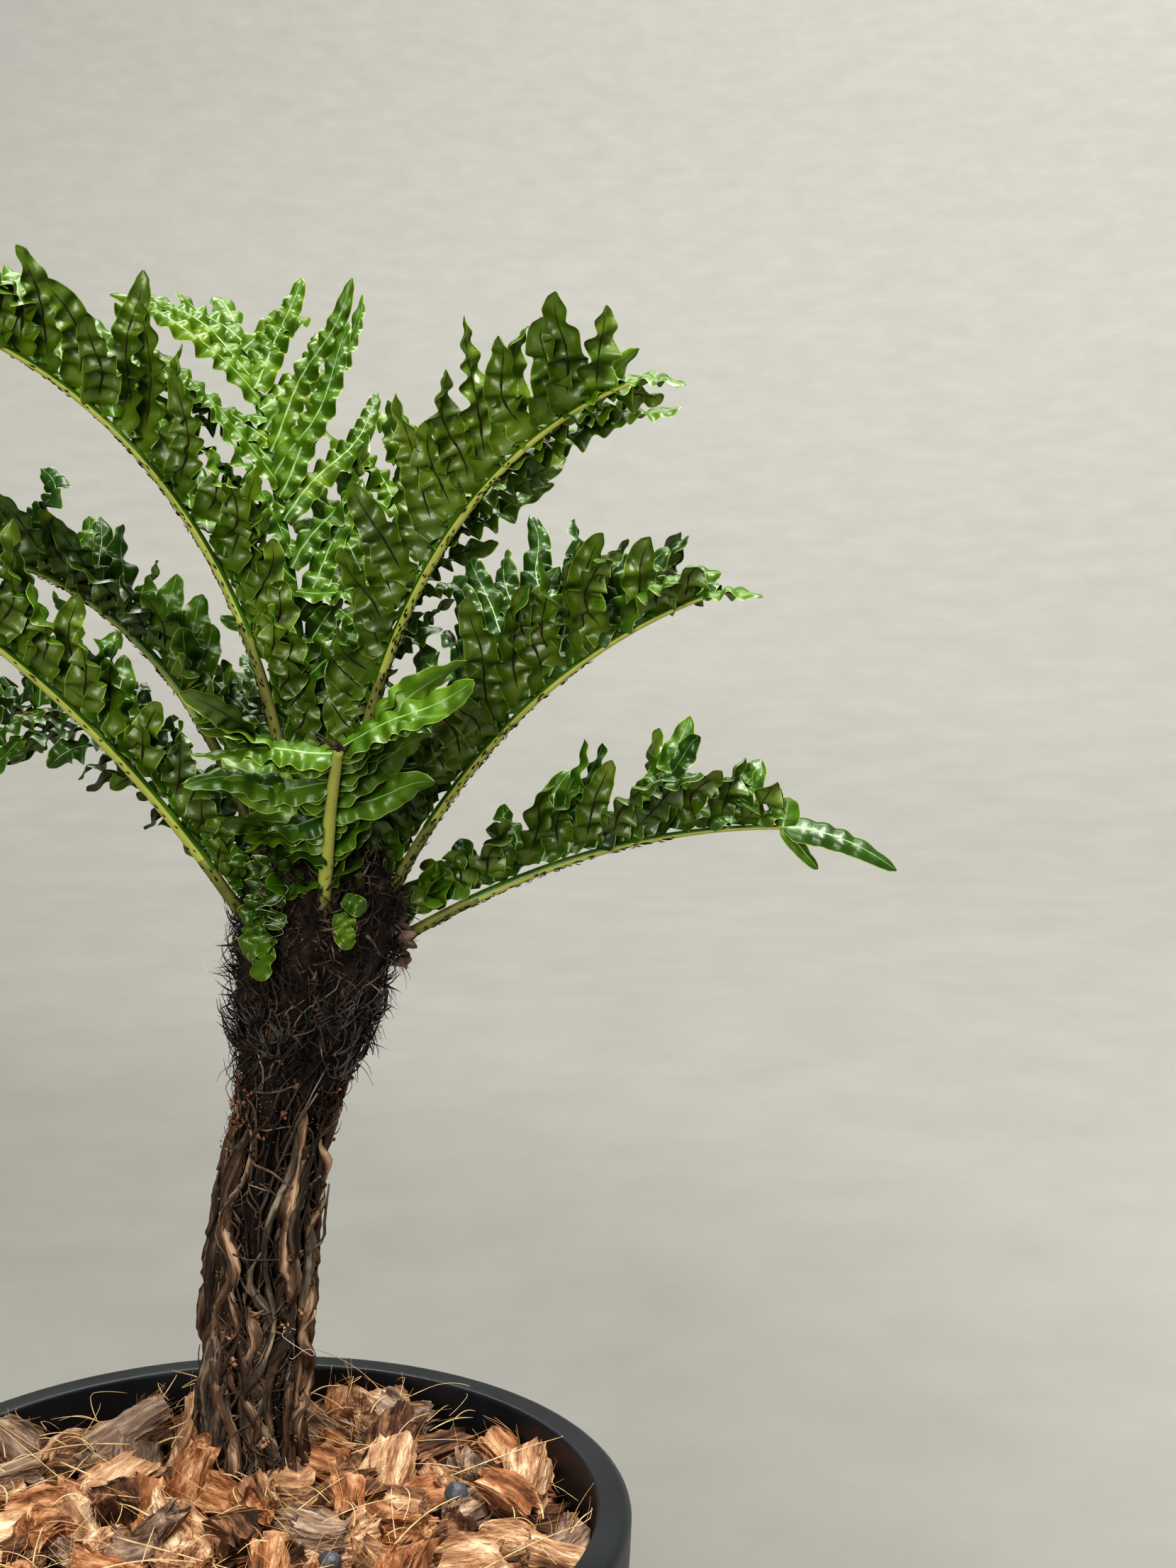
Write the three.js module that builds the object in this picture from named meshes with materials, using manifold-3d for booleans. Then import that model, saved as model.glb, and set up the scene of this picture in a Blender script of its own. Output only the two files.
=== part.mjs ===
// A potted dwarf tree fern: a fibrous leaning trunk under a crown of crisped fronds, in a round plastic pot
// that is topped with coconut husk chips. Millimetres, +Z up, origin at the centre of the pot's underside.
// +X is to the viewer's right and -Y is towards the viewer.
import * as THREE from "three";
import { mergeVertices } from "three/addons/utils/BufferGeometryUtils.js";
import Module from "manifold-3d";

const wasm = await Module();
wasm.setup();

// Driving dimensions

const CLEARANCE = 0.3; // gap between pieces that rest on each other
const TRUNK_CLEARANCE = 0.5; // measured level, so that it is about CLEARANCE square to the trunk's steep lobes

const POT = {
  height: 150,
  rimRadius: 91,
  rimInnerRadius: 83,
  rimBand: 17,
  rimRound: 2,
  baseRadius: 68,
  wall: 2.6,
  floor: 3.5,
  foot: 2.5,
  drainHoles: 6,
  drainCircle: 42,
  drainRadius: 6,
  sides: 40,
};

const SOIL_TOP = 129;
const MULCH_BED = 10; // depth of the even layer that the larger chips lie on
const CHIPS = { count: 38, size: 22, tilt: 0.6, lift: 3.5, seed: 11 };

// The trunk's centre line, from the flat cut on the soil to the growing point
const TRUNK_PATH = [
  new THREE.Vector3(-1, 31, SOIL_TOP + CLEARANCE),
  new THREE.Vector3(2, 29, 180),
  new THREE.Vector3(7, 26, 222),
  new THREE.Vector3(17, 23, 264),
  new THREE.Vector3(21, 20, 304),
];
const TRUNK = {
  radius: 12.2,
  flare: 3.2,
  flareHeight: 0.1,
  crownRadius: 18,
  crownFrom: 0.55,
  crownTo: 0.86,
  tipRadius: 5,
  lobes: 7,
  lobeDepth: 0.07,
  twist: 2.4,
  sides: 28,
  rings: 18,
};

// One row for each frond. Angles are in degrees: azimuth 0 is +X and 270 is towards the viewer, rise is the
// rib's slope where it leaves the crown and tip its slope at the end, and lift is how far the leaflets stand
// up from the frond's own plane. Seat is the height where the rib leaves the crown. A frond may have a
// terminal leaflet of its own length.
const FRONDS = [
  { name: "upper_left", azimuth: 195, seat: 302, rise: 83, tip: 6, length: 166, leaflet: 29, lift: 48 },
  { name: "upper_right", azimuth: 325, seat: 302, rise: 77, tip: 16, length: 134, leaflet: 30, lift: 42 },
  { name: "upper_back", azimuth: 121, seat: 302, rise: 85, tip: 50, length: 126, leaflet: 35, lift: 22 },
  { name: "mid_right", azimuth: 342, seat: 276, rise: 63, tip: 20, length: 118, leaflet: 29, lift: 50 },
  { name: "low_right", azimuth: 2, seat: 272, rise: 31, tip: -2, length: 104, leaflet: 25, lift: 62, terminal: 27 },
  { name: "front_short", azimuth: 283, seat: 276, rise: 68, tip: 34, length: 64, leaflet: 33, lift: 18 },
  { name: "left_front", azimuth: 203, seat: 276, rise: 58, tip: 18, length: 165, leaflet: 27, lift: 50 },
  { name: "left_back", azimuth: 164, seat: 284, rise: 75, tip: -30, length: 160, leaflet: 27, lift: 46 },
  { name: "far_left", azimuth: 146, seat: 274, rise: 55, tip: -55, length: 160, leaflet: 27, lift: 12 },
  { name: "back_right", azimuth: 46, seat: 282, rise: 58, tip: -4, length: 138, leaflet: 27, lift: 44 },
  { name: "back_upper", azimuth: 76, seat: 298, rise: 72, tip: 8, length: 132, leaflet: 28, lift: 40 },
  { name: "back_low", azimuth: 100, seat: 272, rise: 42, tip: -26, length: 144, leaflet: 27, lift: 44 },
];
const FROND = {
  bend: 1.4, // how late along the rib its arch falls
  ribHalfWidth: 1.7,
  ribTipShare: 0.34,
  sideHalf: 0.3, // half the height of the rib's side, which is a leaflet's thickness at its root
  pitch: 8.8, // from one pair of leaflets to the next
  firstPair: 0.13, // share of the rib that is bare stalk
  lastPair: 0.97,
  rootShare: 0.55, // share of the pitch that a leaflet's root takes up
  halfWidth: 3.1,
  thickness: 0.42,
  twistBase: 50,
  twistTip: 16,
  sweep: 0.5,
  falcate: 0.35,
  wave: 13,
  terminal: 12,
  terminalDroop: 0.35,
  leafGap: 0.9,
  shortestShare: 0.36,
  shortest: 7, // leaflets below this length are left to the bare stalk
  splitTurn: 90, // a frond whose rib turns further than this is made as two nodes
};
// A leaflet's cross-sections: share of its length and share of its full width there
const LEAFLET_SECTIONS = [
  { along: 0.3, width: 1 },
  { along: 0.62, width: 0.92 },
  { along: 0.86, width: 0.58 },
];

const COLOURS = {
  pot: 0x1d2126,
  soil: 0x2e2018,
  mulch: 0xa9713f,
  trunk: 0x3d2e22,
  frond: 0x3a6b1e,
};

// Small helpers

const radians = THREE.MathUtils.degToRad;
const lerp = THREE.MathUtils.lerp;
const smooth = THREE.MathUtils.smoothstep;

function seeded(seed) {
  let state = seed;
  return () => {
    state = (state * 1664525 + 1013904223) % 4294967296;
    return state / 4294967296;
  };
}

function toSolid(geometry) {
  const bare = new THREE.BufferGeometry();
  bare.setAttribute("position", geometry.getAttribute("position"));
  bare.setIndex(geometry.getIndex());
  const merged = mergeVertices(bare, 1e-4);
  const mesh = new wasm.Mesh({
    numProp: 3,
    vertProperties: new Float32Array(merged.getAttribute("position").array),
    triVerts: new Uint32Array(merged.getIndex().array),
  });
  return new wasm.Manifold(mesh);
}

function toGeometry(solid) {
  const mesh = solid.getMesh();
  const geometry = new THREE.BufferGeometry();
  geometry.setAttribute("position", new THREE.BufferAttribute(mesh.vertProperties, 3));
  geometry.setIndex(new THREE.BufferAttribute(mesh.triVerts, 1));
  geometry.computeVertexNormals();
  return geometry;
}

function largestBody(solid) {
  return solid.decompose().reduce((best, body) => (body.volume() > best.volume() ? body : best));
}

function facets(points, triangles) {
  const geometry = new THREE.BufferGeometry();
  geometry.setAttribute("position", new THREE.Float32BufferAttribute(points.flatMap((p) => p.toArray()), 3));
  geometry.setIndex(triangles.flat());
  return geometry;
}

// A profile of [radius, height] pairs turned round +Z
function turned(profile, sides) {
  const geometry = new THREE.LatheGeometry(
    profile.map(([r, z]) => new THREE.Vector2(r, z)),
    sides,
  );
  return geometry.rotateX(Math.PI / 2);
}

// Pot

function potInnerRadius(z, gap = 0) {
  return lerp(POT.baseRadius - POT.wall, POT.rimInnerRadius, z / POT.height) - gap;
}

function potSolid() {
  const bandFoot = POT.height - POT.rimBand;
  const profile = [
    [0, 0],
    [POT.baseRadius - POT.foot, 0],
    [POT.baseRadius, POT.foot],
    [potInnerRadius(bandFoot) + POT.wall, bandFoot],
    [POT.rimRadius - POT.rimRound / 2, bandFoot + POT.rimRound],
    [POT.rimRadius, POT.height - POT.rimRound],
    [POT.rimRadius - 0.3 * POT.rimRound, POT.height - 0.3 * POT.rimRound],
    [POT.rimRadius - POT.rimRound, POT.height],
    [POT.rimInnerRadius + 0.5 * POT.rimRound, POT.height],
    [potInnerRadius(POT.height - 0.5 * POT.rimRound), POT.height - 0.5 * POT.rimRound],
    [potInnerRadius(POT.floor), POT.floor],
    [0, POT.floor],
  ];
  let solid = toSolid(turned(profile, POT.sides));
  for (let i = 0; i < POT.drainHoles; i++) {
    const angle = (2 * Math.PI * i) / POT.drainHoles;
    const hole = new THREE.CylinderGeometry(POT.drainRadius, POT.drainRadius, 4 * POT.floor, 10);
    hole.rotateX(Math.PI / 2);
    hole.translate(POT.drainCircle * Math.cos(angle), POT.drainCircle * Math.sin(angle), 0);
    solid = solid.subtract(toSolid(hole));
  }
  return solid;
}

function soilSolid() {
  const floor = POT.floor + CLEARANCE;
  const profile = [
    [0, floor],
    [potInnerRadius(floor, CLEARANCE), floor],
    [potInnerRadius(SOIL_TOP, CLEARANCE), SOIL_TOP],
    [0, SOIL_TOP],
  ];
  return toSolid(turned(profile, POT.sides));
}

// Trunk

const trunkLine = new THREE.CatmullRomCurve3(TRUNK_PATH);

function trunkRadius(share, angle, grow) {
  const flare = TRUNK.flare * Math.max(0, 1 - share / TRUNK.flareHeight) ** 2;
  const crown = (TRUNK.crownRadius - TRUNK.radius) * smooth(share, TRUNK.crownFrom, TRUNK.crownTo);
  const dome = Math.sqrt(Math.max(0, 1 - ((share - TRUNK.crownTo) / (1 - TRUNK.crownTo)) ** 2));
  const body = TRUNK.radius + flare + crown;
  const radius = share < TRUNK.crownTo ? body : lerp(TRUNK.tipRadius, body, dome);
  const roots = Math.sin(TRUNK.lobes * angle + TRUNK.twist * Math.sin(5 * share + angle));
  const strands = Math.sin((TRUNK.lobes + 4) * angle - 3 * TRUNK.twist * share);
  return radius * (1 + TRUNK.lobeDepth * (roots + 0.5 * strands)) + grow;
}

// The trunk as a loft of rings that stay level. A grown copy cuts its neighbours clear of it.
function trunkSolid(grow) {
  const points = [];
  const triangles = [];
  const n = TRUNK.sides;
  for (let i = 0; i <= TRUNK.rings; i++) {
    const share = i / TRUNK.rings;
    const centre = trunkLine.getPoint(share);
    if (i === 0) centre.z -= grow;
    if (i === TRUNK.rings) centre.z += grow;
    for (let j = 0; j < n; j++) {
      const angle = (2 * Math.PI * j) / n;
      const r = trunkRadius(share, angle, grow);
      points.push(centre.clone().add(new THREE.Vector3(r * Math.cos(angle), r * Math.sin(angle), 0)));
    }
  }
  for (let i = 0; i < TRUNK.rings; i++) {
    for (let j = 0; j < n; j++) {
      const [a, b] = [i * n + j, i * n + ((j + 1) % n)];
      triangles.push([a, b, b + n], [a, b + n, a + n]);
    }
  }
  const top = TRUNK.rings * n;
  for (let j = 1; j < n - 1; j++) {
    triangles.push([0, j + 1, j], [top, top + j, top + j + 1]);
  }
  return toSolid(facets(points, triangles));
}

function trunkShareAt(z) {
  let [low, high] = [0, 1];
  for (let i = 0; i < 40; i++) {
    const middle = (low + high) / 2;
    if (trunkLine.getPoint(middle).z < z) low = middle;
    else high = middle;
  }
  return low;
}

// Husk mulch: an even bed with larger chips lying on it, cut clear of the trunk and of the pot's wall

function chipGeometry(random) {
  const chip = new THREE.BoxGeometry(
    CHIPS.size * lerp(0.8, 1.35, random()),
    CHIPS.size * lerp(0.55, 0.85, random()),
    CHIPS.size * lerp(0.35, 0.6, random()),
  );
  const position = chip.getAttribute("position");
  const [skewX, skewY] = [lerp(-0.3, 0.3, random()), lerp(-0.3, 0.3, random())];
  for (let i = 0; i < position.count; i++) {
    position.setX(i, position.getX(i) + skewX * position.getZ(i) + 0.2 * skewY * position.getY(i));
    position.setY(i, position.getY(i) + skewY * position.getZ(i));
  }
  chip.rotateX(lerp(-CHIPS.tilt, CHIPS.tilt, random()));
  chip.rotateY(lerp(-CHIPS.tilt, CHIPS.tilt, random()));
  chip.rotateZ(2 * Math.PI * random());
  return chip;
}

function mulchSolid(grownTrunk) {
  const random = seeded(CHIPS.seed);
  const [low, high] = [SOIL_TOP + CLEARANCE, SOIL_TOP + CLEARANCE + MULCH_BED];
  const reach = potInnerRadius(high, 2);
  let solid = toSolid(turned([[0, low], [reach, low], [reach, high], [0, high]], POT.sides));
  for (let i = 0; i < CHIPS.count; i++) {
    // A sunflower spiral spreads the chips evenly over the bed
    const r = reach * 0.92 * Math.sqrt((i + 0.5) / CHIPS.count);
    const angle = i * Math.PI * (3 - Math.sqrt(5));
    const chip = chipGeometry(random);
    chip.translate(r * Math.cos(angle), r * Math.sin(angle), high + lerp(-0.6, 1, random()) * CHIPS.lift);
    solid = solid.add(toSolid(chip));
  }
  const roof = POT.height + CHIPS.size;
  const space = toSolid(
    turned([[0, low], [reach, low], [potInnerRadius(POT.height, 2), roof], [0, roof]], POT.sides),
  );
  return largestBody(solid.intersect(space).subtract(grownTrunk));
}

// Fronds

// The rib of a frond as evenly spaced frames, each with its place, tangent, left side and upper side
function ribFrames(frond, steps = 96) {
  const share = trunkShareAt(frond.seat);
  const azimuth = radians(frond.azimuth);
  const outward = new THREE.Vector3(Math.cos(azimuth), Math.sin(azimuth), 0);
  const side = new THREE.Vector3(-Math.sin(azimuth), Math.cos(azimuth), 0);
  const place = trunkLine.getPoint(share).addScaledVector(outward, 0.6 * trunkRadius(share, azimuth, 0));
  const frames = [];
  for (let i = 0; i <= steps; i++) {
    const t = i / steps;
    const slope = radians(lerp(frond.rise, frond.tip, t ** FROND.bend));
    const tangent = outward.clone().multiplyScalar(Math.cos(slope)).setZ(Math.sin(slope));
    const up = tangent.clone().cross(side);
    frames.push({ place: place.clone(), tangent, side, up });
    place.addScaledVector(tangent, frond.length / steps);
  }
  return frames;
}

function frameAt(frames, t) {
  const f = THREE.MathUtils.clamp(t, 0, 1) * (frames.length - 1);
  const i = Math.min(Math.floor(f), frames.length - 2);
  const mixed = (key) => frames[i][key].clone().lerp(frames[i + 1][key], f - i);
  return {
    place: mixed("place"),
    tangent: mixed("tangent").normalize(),
    side: frames[i].side,
    up: mixed("up").normalize(),
  };
}

function leafletLength(frond, t) {
  return frond.leaflet * Math.sin(Math.PI * t ** 1.7) ** 0.6;
}

// A leaflet's centre line and cross-sections. Hand is 1 on the frond's left and -1 on its right.
function leafletSections(frond, frames, t, hand, length, order) {
  const { place, tangent, side, up } = frameAt(frames, t);
  const twist = radians(lerp(FROND.twistBase, FROND.twistTip, t));
  const lift = radians(frond.lift);
  const at = place.clone();
  let reached = 0;
  const sections = LEAFLET_SECTIONS.concat({ along: 1, width: 0 }).map(({ along, width }, k) => {
    const middle = (reached + along) / 2;
    const axis = side.clone().multiplyScalar(hand * Math.cos(lift));
    axis.addScaledVector(up, Math.sin(lift)).addScaledVector(tangent, FROND.sweep + FROND.falcate * middle);
    axis.normalize();
    at.addScaledVector(axis, length * (along - reached));
    reached = along;
    const tilt = twist + radians((k + order) % 2 ? FROND.wave : -FROND.wave);
    const flat = up.clone().addScaledVector(axis, -up.dot(axis)).normalize();
    const ahead = flat.clone().cross(axis).multiplyScalar(hand).negate();
    const face = flat.clone().multiplyScalar(Math.cos(tilt)).addScaledVector(ahead, Math.sin(tilt));
    const edge = ahead.clone().multiplyScalar(Math.cos(tilt)).addScaledVector(flat, -Math.sin(tilt));
    return { at: at.clone(), edge, face, halfWidth: width * halfWidthOf(length) };
  });
  return sections;
}

function halfWidthOf(length) {
  return Math.min(FROND.halfWidth, 0.3 * length);
}

// Shares of the rib where leaflet pairs sit
function pairPlaces(frond) {
  const run = frond.length * (FROND.lastPair - FROND.firstPair);
  const count = Math.round(run / FROND.pitch);
  return Array.from({ length: count }, (_, i) => lerp(FROND.firstPair, FROND.lastPair, (i + 0.5) / count));
}

// Balls that stand for what is already in the crown, so that a leaflet can be kept out of other fronds
const taken = [];

function isFree(owner, at, radius) {
  return taken.every(
    (ball) => ball.owner === owner || ball.at.distanceTo(at) > ball.radius + radius + FROND.leafGap,
  );
}

function ribHalfWidthAt(t) {
  return FROND.ribHalfWidth * lerp(1, FROND.ribTipShare, t);
}

function takeRib(frond, frames) {
  frames.forEach(({ place }, i) => {
    if (i % 4 === 0) taken.push({ owner: frond.name, at: place, radius: ribHalfWidthAt(i / frames.length) });
  });
  taken.push({ owner: frond.name, at: terminalPlace(frond, frames, 1).place, radius: 1 });
}

// A place along the terminal leaflet, which droops from the end of the rib
function terminalPlace(frond, frames, share) {
  const end = frames.at(-1);
  const run = share * (frond.terminal ?? FROND.terminal);
  const place = end.place.clone().addScaledVector(end.tangent, run);
  place.addScaledVector(end.up, -FROND.terminalDroop * share * run);
  return { ...end, place };
}

// The leaflet cut back to the length that keeps clear of other fronds, or null where too little is left
function fittedLeaflet(frond, frames, t, hand, order) {
  const full = leafletLength(frond, t);
  if (full < FROND.shortest) return null;
  for (let share = 1; share >= FROND.shortestShare; share -= 0.16) {
    const sections = leafletSections(frond, frames, t, hand, full * share, order);
    if (sections.every((s) => isFree(frond.name, s.at, Math.max(s.halfWidth, 0.5)))) {
      sections.forEach((s) => taken.push({ owner: frond.name, at: s.at, radius: Math.max(s.halfWidth, 0.5) }));
      return sections;
    }
  }
  return null;
}

// The stretches of rib that are nodes of their own: one, or two that meet between pairs of leaflets
function frondSpans(frond) {
  if (frond.rise - frond.tip < FROND.splitTurn) return [[0, 1]];
  const pairs = pairPlaces(frond);
  const k = Math.floor(pairs.length / 2);
  const bend = (pairs[k - 1] + pairs[k]) / 2;
  const gap = CLEARANCE / frond.length;
  return [
    [0, bend - gap / 2],
    [bend + gap / 2, 1],
  ];
}

// A stretch of frond: a keeled rib whose sides are drawn out into leaflets. The last one ends in a single
// terminal leaflet.
function frondGeometry(frond, frames, from, to) {
  const points = [];
  const triangles = [];
  const add = (point) => points.push(point) - 1;
  const quad = (a, b, c, d) => triangles.push([a, b, c], [a, c, d]);

  function ring({ place, side, up }, halfWidth, keel, sideHalf) {
    const corner = (s, u) => add(place.clone().addScaledVector(side, s).addScaledVector(up, u));
    return [
      corner(halfWidth, sideHalf),
      corner(halfWidth, -sideHalf),
      corner(0, -keel),
      corner(-halfWidth, -sideHalf),
      corner(-halfWidth, sideHalf),
    ];
  }

  function drawOut(root, sections, hand) {
    let last = root;
    sections.slice(0, -1).forEach(({ at, edge, face, halfWidth }) => {
      const corner = (e, f) =>
        add(at.clone().addScaledVector(edge, e * halfWidth).addScaledVector(face, (f * FROND.thickness) / 2));
      const next =
        hand > 0
          ? [corner(-1, 1), corner(1, 1), corner(1, -1), corner(-1, -1)]
          : [corner(-1, -1), corner(1, -1), corner(1, 1), corner(-1, 1)];
      // Both faces of a twisted leaflet are split the same way, so that they stay parallel
      last.forEach((a, j) => {
        const k = (j + 1) % 4;
        if (j < 2) quad(a, last[k], next[k], next[j]);
        else quad(last[k], next[k], next[j], a);
      });
      last = next;
    });
    const tip = add(sections.at(-1).at);
    last.forEach((a, j) => triangles.push([a, last[(j + 1) % 4], tip]));
  }

  // Sides 0 and 3 of a ring are the rib's left and right, where leaflets grow
  function bridge(back, front, leaflets) {
    for (let j = 0; j < 5; j++) {
      const k = (j + 1) % 5;
      const sections = leaflets?.[j];
      if (sections) drawOut([back[j], front[j], front[k], back[k]], sections, j === 0 ? 1 : -1);
      else quad(back[j], front[j], front[k], back[k]);
    }
  }

  const ribRing = (t) => {
    const halfWidth = ribHalfWidthAt(t);
    return ring(frameAt(frames, t), halfWidth, 1.3 * halfWidth, FROND.sideHalf);
  };
  const pairs = pairPlaces(frond);
  const half = (0.5 * FROND.rootShare * FROND.pitch) / frond.length;
  let last = ribRing(from);
  triangles.push([last[0], last[1], last[2]], [last[0], last[2], last[3]], [last[0], last[3], last[4]]);
  pairs.forEach((t, order) => {
    if (t < from || t > to) return;
    const back = ribRing(t - half);
    const front = ribRing(t + half);
    bridge(last, back);
    bridge(back, front, {
      0: fittedLeaflet(frond, frames, t, 1, order),
      3: fittedLeaflet(frond, frames, t, -1, order),
    });
    last = front;
  });
  if (to < 1) {
    const cut = ribRing(to);
    bridge(last, cut);
    triangles.push([cut[0], cut[2], cut[1]], [cut[0], cut[3], cut[2]], [cut[0], cut[4], cut[3]]);
    return facets(points, triangles);
  }
  const neck = ring(frames.at(-1), 0.5, 0.5, FROND.sideHalf);
  const wide = ring(terminalPlace(frond, frames, 0.4), 0.8 * FROND.halfWidth, FROND.thickness, FROND.sideHalf);
  const tip = add(terminalPlace(frond, frames, 1).place);
  bridge(last, neck);
  bridge(neck, wide);
  wide.forEach((a, j) => triangles.push([a, tip, wide[(j + 1) % 5]]));
  return facets(points, triangles);
}

// Assembly

function named(name, solid, colour, roughness) {
  const material = new THREE.MeshStandardMaterial({ color: colour, roughness, metalness: 0 });
  const mesh = new THREE.Mesh(toGeometry(solid), material);
  mesh.name = name;
  return mesh;
}

const plant = new THREE.Group();
const grownTrunk = trunkSolid(TRUNK_CLEARANCE);
plant.add(named("pot", potSolid(), COLOURS.pot, 0.55));
plant.add(named("potting_soil", soilSolid(), COLOURS.soil, 0.95));
plant.add(named("husk_mulch", mulchSolid(grownTrunk), COLOURS.mulch, 0.9));
plant.add(named("trunk", trunkSolid(0), COLOURS.trunk, 0.95));

const ribs = FRONDS.map((frond) => ribFrames(frond));
FRONDS.forEach((frond, i) => takeRib(frond, ribs[i]));
FRONDS.forEach((frond, i) => {
  frondSpans(frond).forEach(([from, to]) => {
    const solid = toSolid(frondGeometry(frond, ribs[i], from, to));
    const trimmed = largestBody(solid.subtract(grownTrunk));
    const name = from === 0 ? `frond_${frond.name}` : `frond_${frond.name}_end`;
    plant.add(named(name, trimmed, COLOURS.frond, 0.4));
  });
});

export default plant;
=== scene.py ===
"""The looks of a potted dwarf tree fern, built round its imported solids.

The rules that place trunk and fronds are the part's own, carried on to finer leaflets. They work in
millimetres, with +Z up and the origin under the pot's centre. Blender gets metres.
"""

import math

import bpy
import numpy as np
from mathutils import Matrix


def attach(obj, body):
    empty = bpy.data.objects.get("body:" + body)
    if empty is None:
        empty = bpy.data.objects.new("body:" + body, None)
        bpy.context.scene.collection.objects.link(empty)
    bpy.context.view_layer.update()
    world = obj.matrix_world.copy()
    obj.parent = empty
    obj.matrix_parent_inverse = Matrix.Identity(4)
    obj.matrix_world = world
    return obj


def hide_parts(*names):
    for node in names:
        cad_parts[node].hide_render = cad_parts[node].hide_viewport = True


MM = 0.001
UP = np.array([0.0, 0.0, 1.0])
FULL_TURN = 2 * np.pi

# Driving dimensions, as in the part's source

POT_HEIGHT = 150.0
POT_RIM_RADIUS = 91.0
POT_RIM_INNER = 83.0
POT_RIM_BAND = 17.0
POT_BASE_RADIUS = 68.0
POT_WALL = 2.6
POT_FLOOR = 3.5
POT_SIDES = 144
DRAIN_HOLES = 6
DRAIN_CIRCLE = 42.0
DRAIN_RADIUS = 6.0

MULCH_LOW = 129.3
MULCH_LEVEL = 139.0

TRUNK_PATH = np.array(
    [(-1, 31, 129.3), (2, 29, 180), (7, 26, 222), (17, 23, 264), (21, 20, 304)],
    float,
)
TRUNK_RADIUS = 12.2
TRUNK_FLARE = 3.2
TRUNK_FLARE_HEIGHT = 0.1
CROWN_RADIUS = 18.0
CROWN_FROM = 0.55
CROWN_TO = 0.86
CROWN_TIP_RADIUS = 5.0
TRUNK_LOBES = 7
TRUNK_LOBE_DEPTH = 0.07
TRUNK_TWIST = 2.4

# One row for each frond: angles in degrees, sizes in millimetres. Tint says how old its leaflets look.
FROND_KEYS = ("name", "azimuth", "seat", "rise", "tip", "length", "leaflet", "lift", "tint")
FROND_ROWS = (
    ("upper_left", 195, 302, 83, 6, 166, 29, 48, "young"),
    ("upper_right", 325, 302, 77, 16, 134, 30, 42, "young"),
    ("upper_back", 121, 302, 85, 50, 126, 35, 22, "young"),
    ("mid_right", 342, 276, 63, 20, 118, 29, 50, "mature"),
    ("low_right", 2, 272, 31, -2, 104, 25, 62, "mature"),
    ("front_short", 283, 276, 68, 34, 64, 33, 18, "mature"),
    ("left_front", 203, 276, 58, 18, 165, 27, 50, "mature"),
    ("left_back", 164, 284, 75, -30, 160, 27, 46, "mature"),
    ("far_left", 146, 274, 55, -55, 160, 27, 12, "dark"),
    ("back_right", 46, 282, 58, -4, 138, 27, 44, "dark"),
    ("back_upper", 76, 298, 72, 8, 132, 28, 40, "young"),
    ("back_low", 100, 272, 42, -26, 144, 27, 44, "dark"),
)
FRONDS = [dict(zip(FROND_KEYS, row)) for row in FROND_ROWS]
FROND_BEND = 1.4
RIB_HALF_WIDTH = 1.7
RIB_TIP_SHARE = 0.34
RIB_SIDES = 12
SCALE_FACES = ((0, 4, 1, 1), (1, 4, 2, 2), (4, 3, 2, 2), (0, 3, 4, 4))

# The finer leaflets

LEAF_PITCH = 6.3
LEAF_PITCH_AT_STALK = 0.62
LEAF_FIRST = 0.04
LEAF_LAST = 0.985
LEAF_HALF_WIDTH = 4.0
LEAF_BASE = 0.86
LEAF_STEP = 0.6
LEAF_CELL = 5.2
LEAF_THICK = 0.16
SWEEP = 0.5
FALCATE = 0.35
ACROSS = np.array([-1.0, -0.78, -0.45, 0.0, 0.45, 0.78, 1.0])
LANCE_AT = (0, 0.1, 0.3, 0.5, 0.7, 0.86, 0.95, 1)
LANCE_WIDTH = (0.97, 1, 0.92, 0.76, 0.57, 0.36, 0.04)

# The crisping of a leaflet: a ruffle that grows with the width, a bulge between midrib and margin, a cup
# that bends both halves down, and a margin cut into lobes
RUFFLE_LEAST = 0.14
RUFFLE_SHARE = 0.33
BULGE_SHARE = 0.14
CUP_SHARE = 0.25
LOBE_SOFT = 0.015
LOBE_MEAN = 0.76
LOBE_REACH = 0.13
# How far the pale margin strip, a painted rim highlight, reaches inside and outside the margin
MARGIN_IN = 0.06
MARGIN_OUT = 0.17

# Shares of a leaflet's length, tried until it keeps clear, and the balls that stand for leaflets and ribs
LENGTHS_TRIED = (1.0, 0.85, 0.7, 0.55, 0.4)
PROBE_RADIUS = 1.5
RIB_BALL_RADIUS = 1.2

# The single leaflet at a rib's end. Lobes are leaflets at its foot, as (angle, length, half width).
TERMINAL_USUAL = dict(length=12.0, roll=0.0, crisp=0.7, base=LEAF_BASE, tint=None, lobes=())
TERMINALS = {
    "low_right": dict(
        length=27.0, roll=50.0, crisp=0.25, base=0.2, tint="dark",
        lobes=((80.0, 7.0, 3.2), (-48.0, 13.0, 1.9)),
    ),
}
TERMINAL_DROOP = 0.35
TERMINAL_HALF = 3.4

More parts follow.
